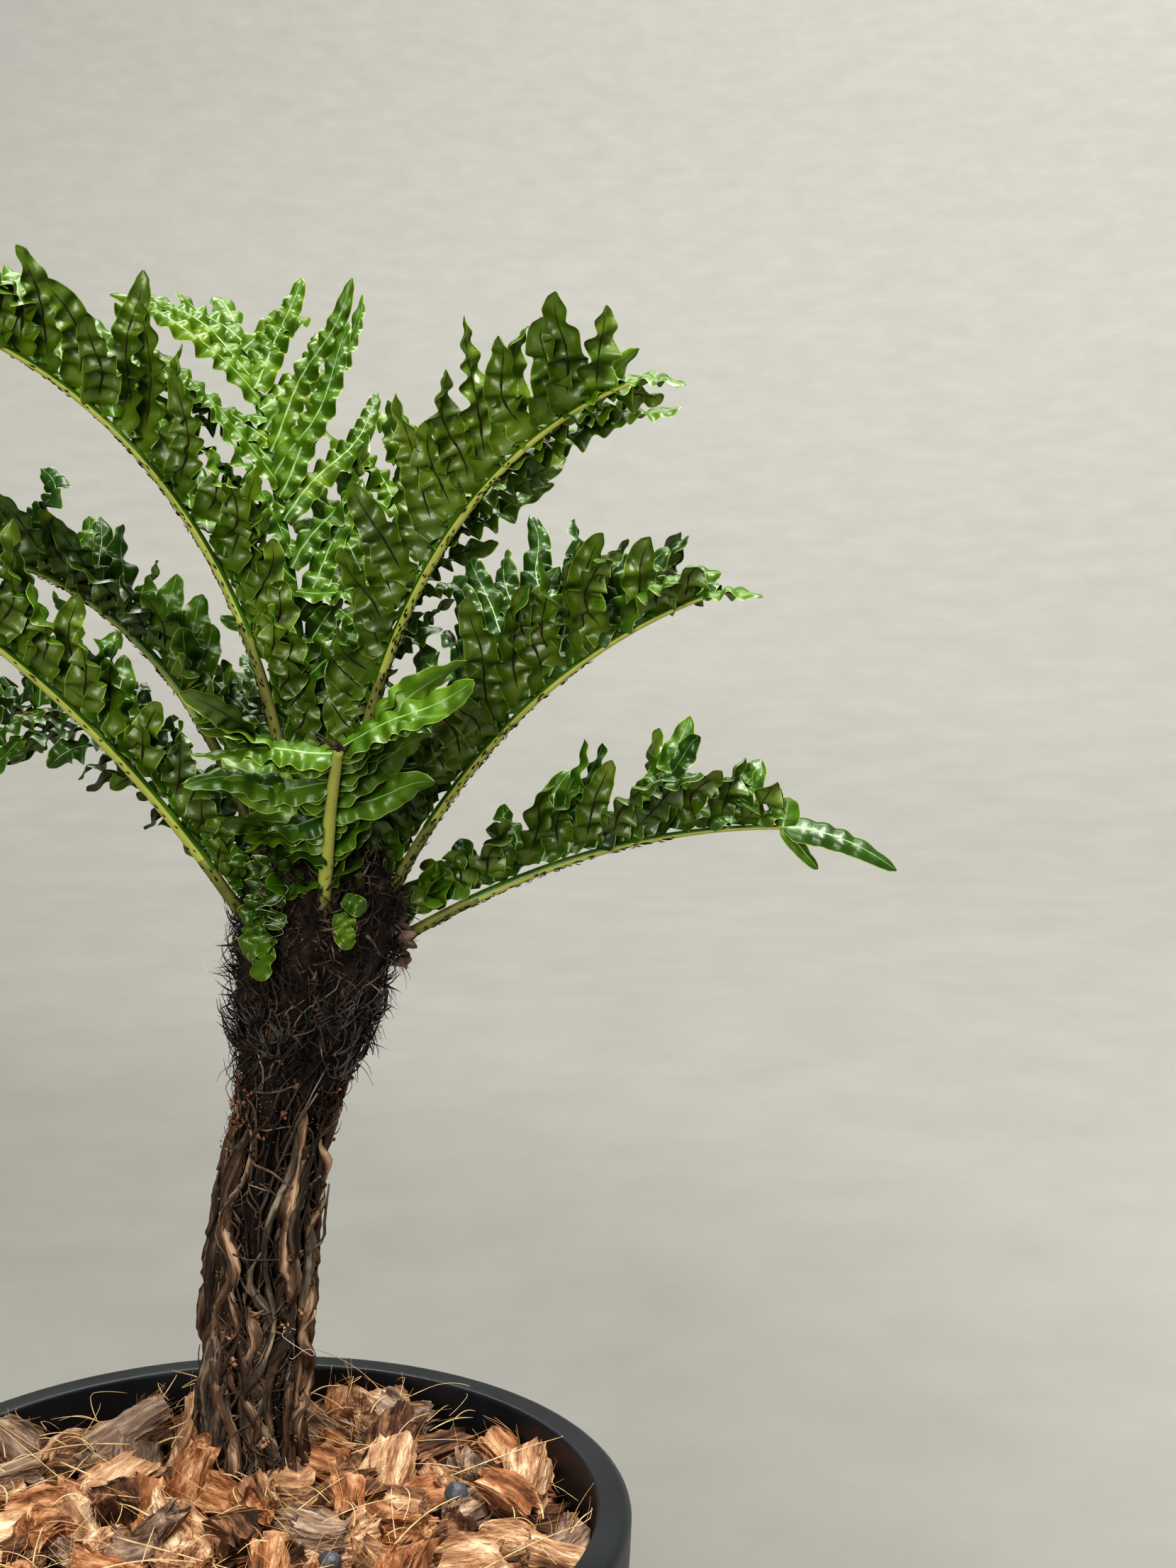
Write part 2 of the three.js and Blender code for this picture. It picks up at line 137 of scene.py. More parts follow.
# How a frond's leaflets stand. Forward and stray are their sweep along the rib and its spread, and twist
# is how far they turn like shelves at the stalk and at the tip. Cut is the share left of a frond that
# broke off. Roll tips the frond so that its left row stands higher than its right one, lean sweeps the
# left row forward, and droop lowers its outer part. Tuck lifts a shelf off the rib, and near is how close
# to the trunk a leaflet may come. Stalk is the brown share of the rib, and scales counts the dark scales.
USUAL_HABIT = dict(
    forward=0.0, stray=0.18, pitch=1.0, wide=1.0, long=1.07, cut=1.0, twist=(60.0, 14.0), curl=(-1.2, 0.5),
    rib=1.0, stalk=0.3, roll=0.0, lean=0.0, droop=0.0, crisp=1.0, tuck=0.75, near=0.85, scales=260,
)
HABITS = {
    "upper_back": dict(forward=0.25, stray=0.38, pitch=0.9, wide=0.8, long=1.3, curl=(-2.2, 1.2)),
    "upper_left": dict(forward=0.2, roll=10.0),
    "upper_right": dict(forward=0.1, roll=-22.0, droop=20.0),
    "mid_right": dict(roll=-10.0, stray=0.2),
    "low_right": dict(forward=-0.2),
    "front_short": dict(
        forward=-0.15, pitch=0.44, wide=1.05, long=1.15, cut=0.6, twist=(104.0, 74.0), rib=1.15,
        stalk=0.16, roll=8.0, lean=0.3, crisp=0.5, tuck=0.3, near=0.55, scales=25,
    ),
    "left_front": dict(forward=0.1, stray=0.2, stalk=0.16, scales=90),
    "left_back": dict(stray=0.22),
    "far_left": dict(curl=(-2.6, -1.2), roll=-30.0),
}

# Small round leaflets at the feet of the stalks, as (height, azimuth on the trunk, length, heading, tint).
# Heading 0 points up and 90 to the right, seen from outside.
FOOT_LEAFLETS = (
    (280, 241, 8.5, 185, "lime"),
    (283, 238, 8.0, 215, "lime"),
    (285, 236, 7.5, 170, "young"),
    (287, 233, 7.5, 200, "young"),
    (289, 230, 7.5, 230, "mature"),
    (291, 229, 7.5, 190, "young"),
    (294, 226, 7.0, 220, "mature"),
    (297, 224, 7.5, 245, "mature"),
    (288, 239, 6.0, 130, "mature"),
    (292, 235, 6.0, 120, "mature"),
    (287, 290, 6.5, 165, "young"),
    (284, 289, 6.0, 150, "lime"),
    (290, 292, 6.0, 120, "mature"),
    (279, 336, 5.5, 100, "dead"),
    (276, 340, 5.0, 150, "dead"),
    (277, 345, 5.5, 125, "dead"),
    (281, 348, 4.5, 80, "dead"),
    (306, 322, 5.5, 70, "mature"),
    (301, 324, 5.0, 100, "dead"),
)
FOOT_CRUMPLE = {"dead": 2.4, "lime": 0.9}
FOOT_CRUMPLE_USUAL = 1.9

# Bark and mulch

# Counts, and heights, lengths, sizes and radii that are drawn between two values
ROOTS = 58
ROOT_TOPS = (172, 248)
ROOT_FOOT = 130.0
ROOT_SHORTEST = 32
ROOT_RADIUS = (0.65, 1.95)
BULGING_ROOTS = (5, 13)
BULGE_HEIGHT = 200
ROOTLETS = 620
ROOTLET_HEIGHTS = (132, 268)
ROOTLET_LENGTH = (8, 30)
ROOTLET_RADIUS = (0.18, 0.5)
HAIRS = 1500
HAIR_TOP = 294
HAIR_SPAN = 66
HAIR_EDGE = (234, 250)
HAIR_LENGTH = (3.5, 9.5)
HAIR_RADIUS = (0.1, 0.2)
HAIR_FANS = 40
FAN_HEIGHTS = (246, 264)
FAN_LENGTH = (5, 11)
FAN_RADIUS = (0.2, 0.36)
MAT_SCALES = 2300
MAT_TOP = 303
MAT_SPAN = 52
MAT_LENGTH = (3.5, 9)
MAT_HALF_WIDTH = (0.25, 0.5)
CRUMBS = 2600
CRUMB_HEIGHTS = (138, 285)
CRUMB_BAND = 240
CRUMB_SIZE = (0.12, 0.32)
CLUSTER_EVERY = 30
CLUSTER_CRUMBS = 6
CLUSTER_SIZE = (0.3, 0.75)
FIBRE_STRETCH = 0.15
CHIP_STRETCH = 1.35 * FIBRE_STRETCH
GRAIN_SPREAD = 900
CHIP_ROWS = 8
CHIP_REACH = 78
CHIP_LENGTH = (10, 22)
CHIP_WIDTH = (7, 12)
CHIP_HEIGHT = (5.5, 10)
CHIP_FUZZ = 24
FUZZ_LENGTH = (4, 11)
FUZZ_RADIUS = (0.07, 0.17)
HEAP_RISE = 5.0
HEAP_REACH = 45
STRAWS = 240
STRAW_REACH = 77
STRAW_LONG = (22, 46)
STRAW_SHORT = (6, 18)
STRAW_RADIUS = (0.1, 0.26)

# Pale threads caught on the trunk, as (height, azimuth), and the places of grey beads on the chips
THREADS = ((281.0, 247.0), (287.0, 244.0), (178.0, 312.0), (268.0, 200.0))
BEADS = ((24.0, -21.0, 146.0), (50.0, 15.0, 145.5))
BEAD_RADIUS = 2.9
THREAD_RADIUS = 0.06

# Chips in layers, as (count, lift over the heap, tilt, corners round a chip). The lowest layer is all
# brown, as painted shade in the gaps between the chips above it.
CHIP_LAYERS = ((120, -4.0, 0.35, 18), (104, 1.0, 0.55, 32), (48, 5.0, 0.8, 34))
CHIP_KINDS = ("orange", "tan", "brown", "grey")
CHIP_SHARES = (0.42, 0.32, 0.16, 0.1)

# The golden angle from one chip to the next, in half turns
GOLDEN_STEP = 3 - math.sqrt(5)

CRUMB_CORNERS = np.array([(1, 0, 0), (-1, 0, 0), (0, 1, 0), (0, -1, 0), (0, 0, 1), (0, 0, -1)], float)
CRUMB_TRIANGLES = ((0, 2, 4), (2, 1, 4), (1, 3, 4), (3, 0, 4), (2, 0, 5), (1, 2, 5), (3, 1, 5), (0, 3, 5))
CRUMB_FACES = [(a, b, c, c) for a, b, c in CRUMB_TRIANGLES]

# Camera and lamps, in metres, with the focal length in the photograph's pixels.
# A lamp is (name, place, target, size, watts, colour).

FOCAL_PIXELS = 3323.0
PHOTO_HEIGHT = 2212.0
SENSOR_HEIGHT = 36.0
CAMERA_PLACE = (0.081, -0.510, 0.389)
CAMERA_DOWN = 8.1
LAMPS = (
    ("key", (0.55, -0.35, 1.5), (0.01, 0.02, 0.3), 0.45, 19.0, (1.0, 0.98, 0.93)),
    ("window", (-0.3, -1.3, 0.75), (0.01, 0.02, 0.3), 0.7, 12.0, (1.0, 0.99, 0.96)),
    ("back", (-0.35, 0.85, 1.35), (0.01, 0.02, 0.35), 0.5, 5.0, (1.0, 0.99, 0.94)),
    ("wall", (1.2, 3.0, 5.5), (1.4, 6.0, 1.2), 4.0, 330.0, (1.0, 0.995, 0.97)),
    ("other_wall", (-1.2, -3.0, 5.5), (-1.4, -6.0, 1.2), 4.0, 95.0, (1.0, 0.995, 0.97)),
)
SKY_COLOUR = (0.92, 0.96, 1.0, 1)
SKY_STRENGTH = 0.09

# The paper floor is flat at first and then curves up. Its shade is (distance in metres, share of light).
FLOOR_REACH = 7000.0
FLOOR_FLAT = 1500
FLOOR_RISE = 2600
SHADE_FROM = (-0.9, -0.2, 0.0)
SHADE_SPAN = 6.0
SHADE = ((1.05, 0.61), (1.25, 0.67), (1.5, 0.86), (2.0, 1.03), (3.0, 1.14), (4.4, 1.05), (5.7, 0.95))

# Looks of each kind: colours from the darkest to the palest, and the roughness

FROND_LOOKS = {
    # Lime is the pale green of new growth; on the tips of young fronds it also carries painted glow of
    # light through the thin leaflets
    "upper_lime": ([(0.045, 0.102, 0.002), (0.08, 0.158, 0.003), (0.15, 0.24, 0.008)], 0.38),
    "upper_young": ([(0.042, 0.1, 0.003), (0.08, 0.165, 0.005), (0.13, 0.24, 0.01)], 0.38),
    "upper_mature": ([(0.028, 0.077, 0.003), (0.058, 0.132, 0.005), (0.11, 0.21, 0.012)], 0.36),
    "upper_dark": ([(0.013, 0.042, 0.005), (0.03, 0.08, 0.008), (0.058, 0.13, 0.014)], 0.33),
    "lower_lime": ([(0.06, 0.117, 0.002), (0.1, 0.17, 0.003), (0.17, 0.25, 0.008)], 0.4),
    "lower_young": ([(0.052, 0.098, 0.003), (0.088, 0.15, 0.005), (0.145, 0.21, 0.01)], 0.4),
    "lower_mature": ([(0.05, 0.096, 0.003), (0.092, 0.15, 0.005), (0.15, 0.215, 0.012)], 0.4),
    "lower_dark": ([(0.028, 0.06, 0.004), (0.055, 0.1, 0.007), (0.095, 0.15, 0.013)], 0.38),
    "midrib": ([(0.2, 0.34, 0.13), (0.32, 0.46, 0.2)], 0.4),
    "sori": ([(0.012, 0.007, 0.003), (0.035, 0.02, 0.008)], 0.8),
    # The pale margin strip: a painted rim highlight, with painted glow of light through the thin margin
    "edge": ([(0.22, 0.31, 0.05), (0.36, 0.43, 0.11)], 0.4),
    "rib": ([(0.34, 0.37, 0.07), (0.5, 0.51, 0.15)], 0.45),
    "stalk": ([(0.09, 0.085, 0.02), (0.26, 0.27, 0.06)], 0.6),
    "fleck": ([(0.006, 0.004, 0.003), (0.02, 0.012, 0.008)], 0.7),
    "dead": ([(0.012, 0.007, 0.005), (0.07, 0.043, 0.027), (0.28, 0.19, 0.13)], 0.7),
}
BARK_LOOKS = {
    # The core's dark colour is partly the stem's own and partly painted shade in the gaps between the
    # roots
    "core": ([(0.004, 0.003, 0.002), (0.02, 0.012, 0.008), (0.08, 0.045, 0.026)], 0.85),
    "root": ([(0.014, 0.008, 0.005), (0.15, 0.09, 0.055), (0.6, 0.42, 0.29)], 0.6),
    "old_root": ([(0.011, 0.009, 0.007), (0.115, 0.09, 0.065), (0.48, 0.4, 0.3)], 0.6),
    "dark_root": ([(0.006, 0.004, 0.003), (0.052, 0.033, 0.021), (0.24, 0.155, 0.1)], 0.66),
    "rootlet": ([(0.014, 0.009, 0.006), (0.07, 0.043, 0.028), (0.26, 0.175, 0.115)], 0.7),
    "hair": ([(0.003, 0.003, 0.003), (0.05, 0.044, 0.04)], 0.35),
    # The fans' grey is a painted glint of light on dark hairs
    "fan_painted_glint": ([(0.01, 0.01, 0.011), (0.17, 0.17, 0.165)], 0.3),
    "mat": ([(0.006, 0.004, 0.003), (0.05, 0.033, 0.023), (0.36, 0.26, 0.19)], 0.65),
    "speck": ([(0.1, 0.045, 0.02), (0.29, 0.15, 0.085), (0.55, 0.36, 0.25)], 0.85),
    "thread": ([(0.6, 0.58, 0.52), (0.8, 0.78, 0.72)], 0.6),
}
HUSK_LOOKS = {
    "orange": ([(0.12, 0.046, 0.018), (0.35, 0.16, 0.07), (0.68, 0.43, 0.26)], 0.85),
    "tan": ([(0.2, 0.1, 0.052), (0.49, 0.3, 0.175), (0.86, 0.66, 0.47)], 0.85),
    # Brown chips lie among the upper layers in their own colour; the whole lowest layer is brown as
    # painted shade in the gaps
    "brown": ([(0.03, 0.014, 0.007), (0.13, 0.06, 0.029), (0.36, 0.21, 0.12)], 0.88),
    "grey": ([(0.09, 0.058, 0.04), (0.26, 0.18, 0.13), (0.52, 0.4, 0.3)], 0.88),
    "fibre": ([(0.4, 0.2, 0.08), (0.68, 0.42, 0.2)], 0.75),
    "straw": ([(0.48, 0.32, 0.15), (0.82, 0.66, 0.4)], 0.6),
    "bead": ([(0.05, 0.056, 0.066), (0.12, 0.13, 0.145)], 0.35),
    "bed": ([(0.02, 0.01, 0.006), (0.09, 0.045, 0.02)], 0.95),
}
PLASTIC_COLOURS = [(0.011, 0.013, 0.016), (0.02, 0.023, 0.027)]
SOIL_COLOURS = [(0.008, 0.005, 0.003), (0.05, 0.028, 0.015)]
PAPER_COLOURS = [(0.4, 0.395, 0.365), (0.44, 0.43, 0.4)]

# How the surface noise of each family is scaled
NOISE_MIDDLE = 0.51
ROUGH_SPREAD = 0.08
LEAF_FINISH = dict(scale=55.0, bump=0.25, bump_scale=900.0)
LEAF_SPECULAR = dict(upper=0.58, lower=0.85)
ROOT_FINISH = dict(scale=480.0, bump=1.0, bump_scale=1700.0, grain=True, deep=0.0006, band=0.18)
BARK_FINISH = dict(scale=140.0, bump=0.6, bump_scale=1100.0)
CHIP_FINISH = dict(scale=340.0, bump=1.0, bump_scale=1500.0, grain=True, deep=0.0009, band=0.15)
FIBRE_FINISH = dict(scale=190.0, bump=0.6)

rng = np.random.default_rng(20)


# Gathering many small meshes into one piece


class Kind:
    """The vertices and faces of one kind of thing, gathered from many small meshes."""

    def __init__(self):
        self.verts = []
        self.faces = []
        self.grain = []
        self.count = 0

    def add(self, verts, faces, grain=None):
        """Adds a mesh. Faces is an array of quads, where a triangle repeats its last corner."""
        self.verts.append(np.asarray(verts, float).reshape(-1, 3))
        if grain is not None:
            self.grain.append(np.asarray(grain, float).reshape(-1, 3))
        self.faces.append(np.asarray(faces, int).reshape(-1, 4) + self.count)
        self.count += len(self.verts[-1])

    def build(self, name, material, smooth=True, slot=None):
        """Makes the Blender object, in metres, riding on the plant."""
        verts = np.vstack(self.verts) * MM
        faces = np.vstack(self.faces).tolist()
        mesh = bpy.data.meshes.new(name)
        mesh.from_pydata(verts, [], [face[:3] if face[2] == face[3] else face for face in faces])
        mesh.polygons.foreach_set("use_smooth", np.full(len(faces), smooth))
        mesh.validate()
        if len(self.grain) == len(self.verts):
            layer = mesh.attributes.new("grain", "FLOAT_VECTOR", "POINT")
            layer.data.foreach_set("vector", (np.vstack(self.grain) * MM).astype(np.float32).ravel())
        mesh.materials.append(material)
        piece = bpy.data.objects.new(name, mesh)
        bpy.context.scene.collection.objects.link(piece)
        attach(piece, "root")
        return piece


leaves = {name: Kind() for name in FROND_LOOKS}
bark = {name: Kind() for name in BARK_LOOKS}
husk = {name: Kind() for name in HUSK_LOOKS}


def grid_faces(rows, cols, closed=False, flip=False):
    """Quads of a grid of rows x cols points, wrapped round across the columns if closed."""
    i, j = np.meshgrid(np.arange(rows - 1), np.arange(cols if closed else cols - 1), indexing="ij")
    a = i * cols + j
    b = i * cols + (j + 1) % cols
    faces = np.stack([a, b, b + cols, a + cols], -1).reshape(-1, 4)
    return faces[:, ::-1] if flip else faces


def tube_faces(rows, cols):
    """Quads of a grid that is wrapped round, with both its ends closed by fans."""
    k = np.arange(1, cols - 1)
    first = np.zeros_like(k)
    top = (rows - 1) * cols
    low = np.stack([first, k + 1, k, k], -1)
    high = np.stack([first, k, k + 1, k + 1], -1) + top
    caps = np.stack([low, high], 1).reshape(-1, 4)
    return np.vstack([grid_faces(rows, cols, closed=True), caps])


def round_angles(count):
    """Angles spread evenly round the circle."""
    return FULL_TURN * np.arange(count) / count


def any_angle():
    """A direction drawn evenly round the circle."""
    return rng.uniform(0, FULL_TURN)


def column(count):
    """Even shares from 0 to 1, as a column."""
    return np.linspace(0, 1, count)[:, None]


def turned_grid(r, z, cols):
    """Points of a turned surface with radii r at heights z."""
    angle = round_angles(cols)
    r = r[:, None]
    z = np.broadcast_to(z[:, None], (len(r), cols))
    return np.stack([r * np.cos(angle), r * np.sin(angle), z], -1)


def unit(v):
    """Vectors brought to length 1."""
    return v / np.maximum(np.linalg.norm(v, axis=-1, keepdims=True), 1e-9)


def smoothstep(x, low, high):
    """A smooth rise from 0 at low to 1 at high."""
    s = np.clip((x - low) / (high - low), 0, 1)
    return s * s * (3 - 2 * s)


def tube(path, radii, sides):
    """A closed tube along a path, with the direction of its fibres."""
    path = np.asarray(path, float)
    n = len(path)
    radii = np.broadcast_to(np.asarray(radii, float), (n,))
    along = unit(np.gradient(path, axis=0))
    hint = np.array([0.31, 0.55, 0.77])
    across = unit(np.cross(along, hint))
    other = np.cross(along, across)
    angle = round_angles(sides)
    ring = np.cos(angle)[None, :, None] * across[:, None] + np.sin(angle)[None, :, None] * other[:, None]
    verts = (path[:, None] + ring * radii[:, None, None]).reshape(-1, 3)
    drawn_out = FIBRE_STRETCH * np.repeat(np.linspace(0, len(path), n)[:, None], sides, 1)
    girth = radii[:, None] * np.stack([np.cos(angle), np.sin(angle)])[:, None]
    grain = np.stack([drawn_out, girth[0], girth[1]], -1) + rng.uniform(0, GRAIN_SPREAD, 3)
    return verts, tube_faces(n, sides), grain


def strand(kind, path, thick, tip, sides):
    """Adds a tube that tapers to a share of its thickness at the tip."""
    kind.add(*tube(path, thick * np.linspace(1, tip, len(path)), sides))


def wander(count, reach, smooth):
    """A random walk from 0 with its steps smoothed, scaled to about the given reach."""
    steps = rng.normal(size=count + 2 * smooth)
    kernel = np.hanning(2 * smooth + 1)
    path = np.convolve(steps, kernel / kernel.sum(), "same")[smooth : smooth + count]
    path = np.cumsum(path)
    path -= path[0]
    return reach * path / max(1e-6, np.abs(path).max())


# Trunk rule


def trunk_line(share):
    """Points on the trunk's centre line: the source's spline through TRUNK_PATH."""
    share = np.atleast_1d(np.asarray(share, float))
    last = len(TRUNK_PATH) - 1
    place = np.clip(share, 0, 1) * last
    k = np.minimum(place.astype(int), last - 1)
    t = (place - k)[:, None]
    before = 2 * TRUNK_PATH[0] - TRUNK_PATH[1]
    beyond = 2 * TRUNK_PATH[-1] - TRUNK_PATH[-2]
    padded = np.vstack([before, TRUNK_PATH, beyond])
    p0, p1, p2, p3 = padded[k], padded[k + 1], padded[k + 2], padded[k + 3]
    gaps = np.sqrt(np.linalg.norm(np.diff(padded, axis=0), axis=1))[:, None]
    d0, d1, d2 = gaps[k], gaps[k + 1], gaps[k + 2]
    m1 = d1 * ((p1 - p0) / d0 - (p2 - p0) / (d0 + d1) + (p2 - p1) / d1)
    m2 = d1 * ((p2 - p1) / d1 - (p3 - p1) / (d1 + d2) + (p3 - p2) / d2)
    return p1 + m1 * t + (3 * (p2 - p1) - 2 * m1 - m2) * t**2 + (2 * (p1 - p2) + m1 + m2) * t**3


def trunk_radius(share, angle):
    """The trunk's radius: flared at the foot, thick and domed at the crown, with lobes round it."""
    flare = TRUNK_FLARE * np.maximum(0, 1 - share / TRUNK_FLARE_HEIGHT) ** 2
    body = TRUNK_RADIUS + flare + (CROWN_RADIUS - TRUNK_RADIUS) * smoothstep(share, CROWN_FROM, CROWN_TO)
    dome = np.sqrt(np.maximum(0, 1 - ((share - CROWN_TO) / (1 - CROWN_TO)) ** 2))
    radius = np.where(share < CROWN_TO, body, CROWN_TIP_RADIUS + (body - CROWN_TIP_RADIUS) * dome)
    roots = np.sin(TRUNK_LOBES * angle + TRUNK_TWIST * np.sin(5 * share + angle))
    strands = np.sin((TRUNK_LOBES + 4) * angle - 3 * TRUNK_TWIST * share)
    return radius * (1 + TRUNK_LOBE_DEPTH * (roots + 0.5 * strands))


SHARES = np.linspace(0, 1, 400)
HEIGHTS = trunk_line(SHARES)[:, 2]


def share_at(z):
    """The share of the trunk's line at a height."""
    return np.interp(z, HEIGHTS, SHARES)


def outwards(angle):
    """Level directions at angles round the trunk."""
    return np.stack([np.cos(angle), np.sin(angle), np.zeros_like(angle)], -1)


def on_trunk(z, angle, stand_off):
    """Points on the trunk's surface at heights z and angles, stood off outwards."""
    share = share_at(z)
    r = trunk_radius(share, angle) + stand_off
    out = outwards(angle)
    return trunk_line(share) + r[:, None] * out, out


def spot_on_trunk(z, angle, stand_off):
    """One point on the trunk's surface, with its way outwards."""
    root, out = on_trunk(np.array([z], float), np.array([angle], float), stand_off)
    return root[0], out[0]


def around_trunk(out):
    """The level direction to the right, seen from outside."""
    return np.array([-out[1], out[0], 0])


# Frond rule


def rib_frames(frond, steps=96):
    """The rib as evenly spaced places with their tangents and upper sides, and the frond's left side."""
    share = float(share_at(frond["seat"]))
    azimuth = math.radians(frond["azimuth"])
    outward = np.array([math.cos(azimuth), math.sin(azimuth), 0.0])
    side = np.array([-math.sin(azimuth), math.cos(azimuth), 0.0])
    start = trunk_line(share)[0] + 0.6 * float(trunk_radius(share, azimuth)) * outward
    t = np.linspace(0, 1, steps + 1)
    slope = np.radians(frond["rise"] + (frond["tip"] - frond["rise"]) * t**FROND_BEND)
    tangent = np.cos(slope)[:, None] * outward + np.sin(slope)[:, None] * UP
    step = tangent * frond["length"] / steps
    place = start + np.vstack([np.zeros(3), np.cumsum(step, axis=0)[:-1]])
    return dict(t=t, place=place, tangent=tangent, up=np.cross(tangent, side), side=side)


def along_rib(frames, key, t):
    """A rib's places or directions at shares t of its length."""
    return np.stack([np.interp(t, frames["t"], frames[key][:, k]) for k in range(3)], -1)


def frame_at(frames, t):
    """Place, tangent, left side and upper side at one share of a rib."""
    tangent = unit(along_rib(frames, "tangent", t))
    return along_rib(frames, "place", t), tangent, frames["side"], unit(along_rib(frames, "up", t))


def rib_half_width(t):
    """Half a rib's width, which tapers to its tip."""
    return RIB_HALF_WIDTH * (1 + (RIB_TIP_SHARE - 1) * t)


def habit(frond):
    """How a frond's leaflets stand: the usual way with the frond's own changes."""
    return USUAL_HABIT | HABITS.get(frond["name"], {})


def leaflet_length(frond, t):
    """The source's rule for a leaflet's length along its rib."""
    t = t * habit(frond)["cut"]
    return frond["leaflet"] * math.sin(math.pi * t**1.7) ** 0.6


# Leaflets


def outline(u, length, base):
    """Share of the half width along a leaflet: long ones taper to a point, short ones are round."""
    lance = np.interp(u, LANCE_AT, (base, *LANCE_WIDTH))
    oval = np.sqrt(np.clip(1 - (1.9 * u - 0.9) ** 2, 0.003, 1))
    blend = smoothstep(length, 8.0, 15.0)
    return blend * lance + (1 - blend) * oval


def leaflet_surface(axis, face, edge, half, length, tint, crisp=1.0, scoop=0.0, full=True, base=LEAF_BASE):
    """One crisped leaflet along an axis: both faces, the pale margin strip of painted rim highlight, the
    midrib and the sori.
    """
    rows = len(axis)
    cols = len(ACROSS)
    u = column(rows)
    s = u * length
    v = ACROSS[None, :]
    far = np.abs(v)
    width = half * outline(u[:, 0], length, base)[:, None]
    side = np.where(v < 0, 0, 1)
    phase = rng.uniform(0, FULL_TURN, 2)[side]
    period = (LEAF_CELL * rng.uniform(0.9, 1.15, 2))[side] * (0.6 + 0.4 * half / LEAF_HALF_WIDTH)
    grow = (0.45 + 0.7 * smoothstep(u, 0.05, 0.45)) * (1 - 0.55 * smoothstep(u, 0.5, 0.92))
    uneven = np.sin(FULL_TURN * s / rng.uniform(13, 21) + 2 * phase)
    turn = FULL_TURN * (s / period - 0.15 * far) + phase + 0.7 * uneven
    lobe = (np.cos(turn / 2) ** 2 + LOBE_SOFT) ** 0.25
    wave = (0.8 * np.cos(turn) + 0.4 * (lobe - LOBE_MEAN)) * (1.22 + 0.25 * np.roll(uneven, 3, 0))
    swell = RUFFLE_LEAST + RUFFLE_SHARE * width
    ruffle = crisp * grow * swell * np.sin(0.5 * np.pi * far) ** 0.85 * wave
    bulge = BULGE_SHARE * width * np.sin(np.pi * far)
    cup = width * (scoop * far**2 - CUP_SHARE * (1 - scoop) * far**2)
    height = ruffle + bulge + cup
    reach = width * v * (1 + LOBE_REACH * far * (lobe - 0.8))
    thick = LEAF_THICK * (1 - v**2) * (1 - u**6)
    middle = axis[:, None] + edge[:, None] * reach[..., None] + face[:, None] * height[..., None]
    lift = face[:, None] * thick[..., None]
    above, below = ("dead", "dead") if tint == "dead" else (f"upper_{tint}", f"lower_{tint}")
    leaves[above].add(middle + lift, grid_faces(rows, cols, flip=True))
    leaves[below].add(middle - lift, grid_faces(rows, cols))
    if tint == "dead":
        return
    # A pale strip round each margin, as painted rim highlight and glow through the thin edge
    for rim, sign in ((0, -1), (cols - 1, 1)):
        inner = middle[:, rim]
        outward = unit(inner - middle[:, rim - sign])
        strip = np.stack([inner - outward * MARGIN_IN, inner + outward * MARGIN_OUT], 1)
        leaves["edge"].add(strip, grid_faces(rows, 2, flip=sign < 0))
    if full:
        leaflet_ribs(axis[::2], face[::2], edge[::2], u[::2], s[::2])


def leaflet_ribs(axis, face, edge, u, s):
    """The pale midrib on a leaflet's upper face, and the dark line of sori under it."""
    taper = np.clip(1.12 - u, 0.12, 1)
    ragged = 0.6 + 0.4 * np.abs(np.sin(s + rng.uniform(0, 6)))
    dark = smoothstep(u, 0.1, 0.3) * np.clip(0.9 - u, 0.0, 1) ** 0.5 * ragged
    for name, sign, wide, proud, part in (("midrib", 1, 0.32, 0.16, taper), ("sori", -1, 0.42, 0.2, dark)):
        spread = np.array([-wide, 0, wide])[None, :] * part
        rise = sign * (LEAF_THICK * (1 - u**6) + np.array([0.02, proud, 0.02])[None, :] * part)
        strip = axis[:, None] + edge[:, None] * spread[..., None] + face[:, None] * rise[..., None]
        leaves[name].add(strip, grid_faces(len(u), 3, flip=sign > 0))


def leaflet_axis(frames, t, hand, length, half, lift, twist, wild):
    """A leaflet's centre line with the directions of its upper face and its leading edge."""
    place, tangent, side, up = frame_at(frames, t)
    n = max(7, int(round(length / LEAF_STEP)))
    u = column(n + 1)
    sweep = SWEEP + wild["sweep"] + FALCATE * u
    sway = tangent * wild["sway"] * np.sin(2.5 * np.pi * u + wild["phase"])
    heading = side * hand * math.cos(lift) + up * math.sin(lift) + tangent * sweep
    heading = unit(heading + up * wild["curl"] * u**2 + sway)
    shelf = wild["tuck"] * half * math.sin(twist) ** 2
    start = place + up * (0.45 * rib_half_width(t) + shelf) - side * hand * 0.3
    steps = (heading[1:] + heading[:-1]) / 2
    axis = start + np.vstack([np.zeros(3), np.cumsum(steps, axis=0)]) * length / n
    flat = unit(up - (heading @ up)[:, None] * heading)
    ahead = -hand * np.cross(flat, heading)
    turn = twist * (1 - 0.25 * u) + wild["turn"] * smoothstep(u, 0.2, 1.0)
    face = flat * np.cos(turn) + ahead * np.sin(turn)
    edge = ahead * np.cos(turn) - flat * np.sin(turn)
    return axis, face, edge


# Balls that stand for what is already in the crown, so that a leaflet keeps out of other fronds
taken_at = []
taken_radius = []
taken_owner = []


def take(owner, points, radius):
    """Marks balls round the points as taken by a frond."""
    for point in points:
        taken_at.append(point)
        taken_radius.append(radius)
        taken_owner.append(owner)


def is_free(owner, points, radius):
    """Whether balls round the points keep clear of all other fronds."""
    at = np.array(taken_at)
    other = np.array(taken_owner) != owner
    if not other.any():
        return True
    apart = np.linalg.norm(points[:, None] - at[None, other], axis=2)
    return bool((apart > np.array(taken_radius)[other] + radius).all())


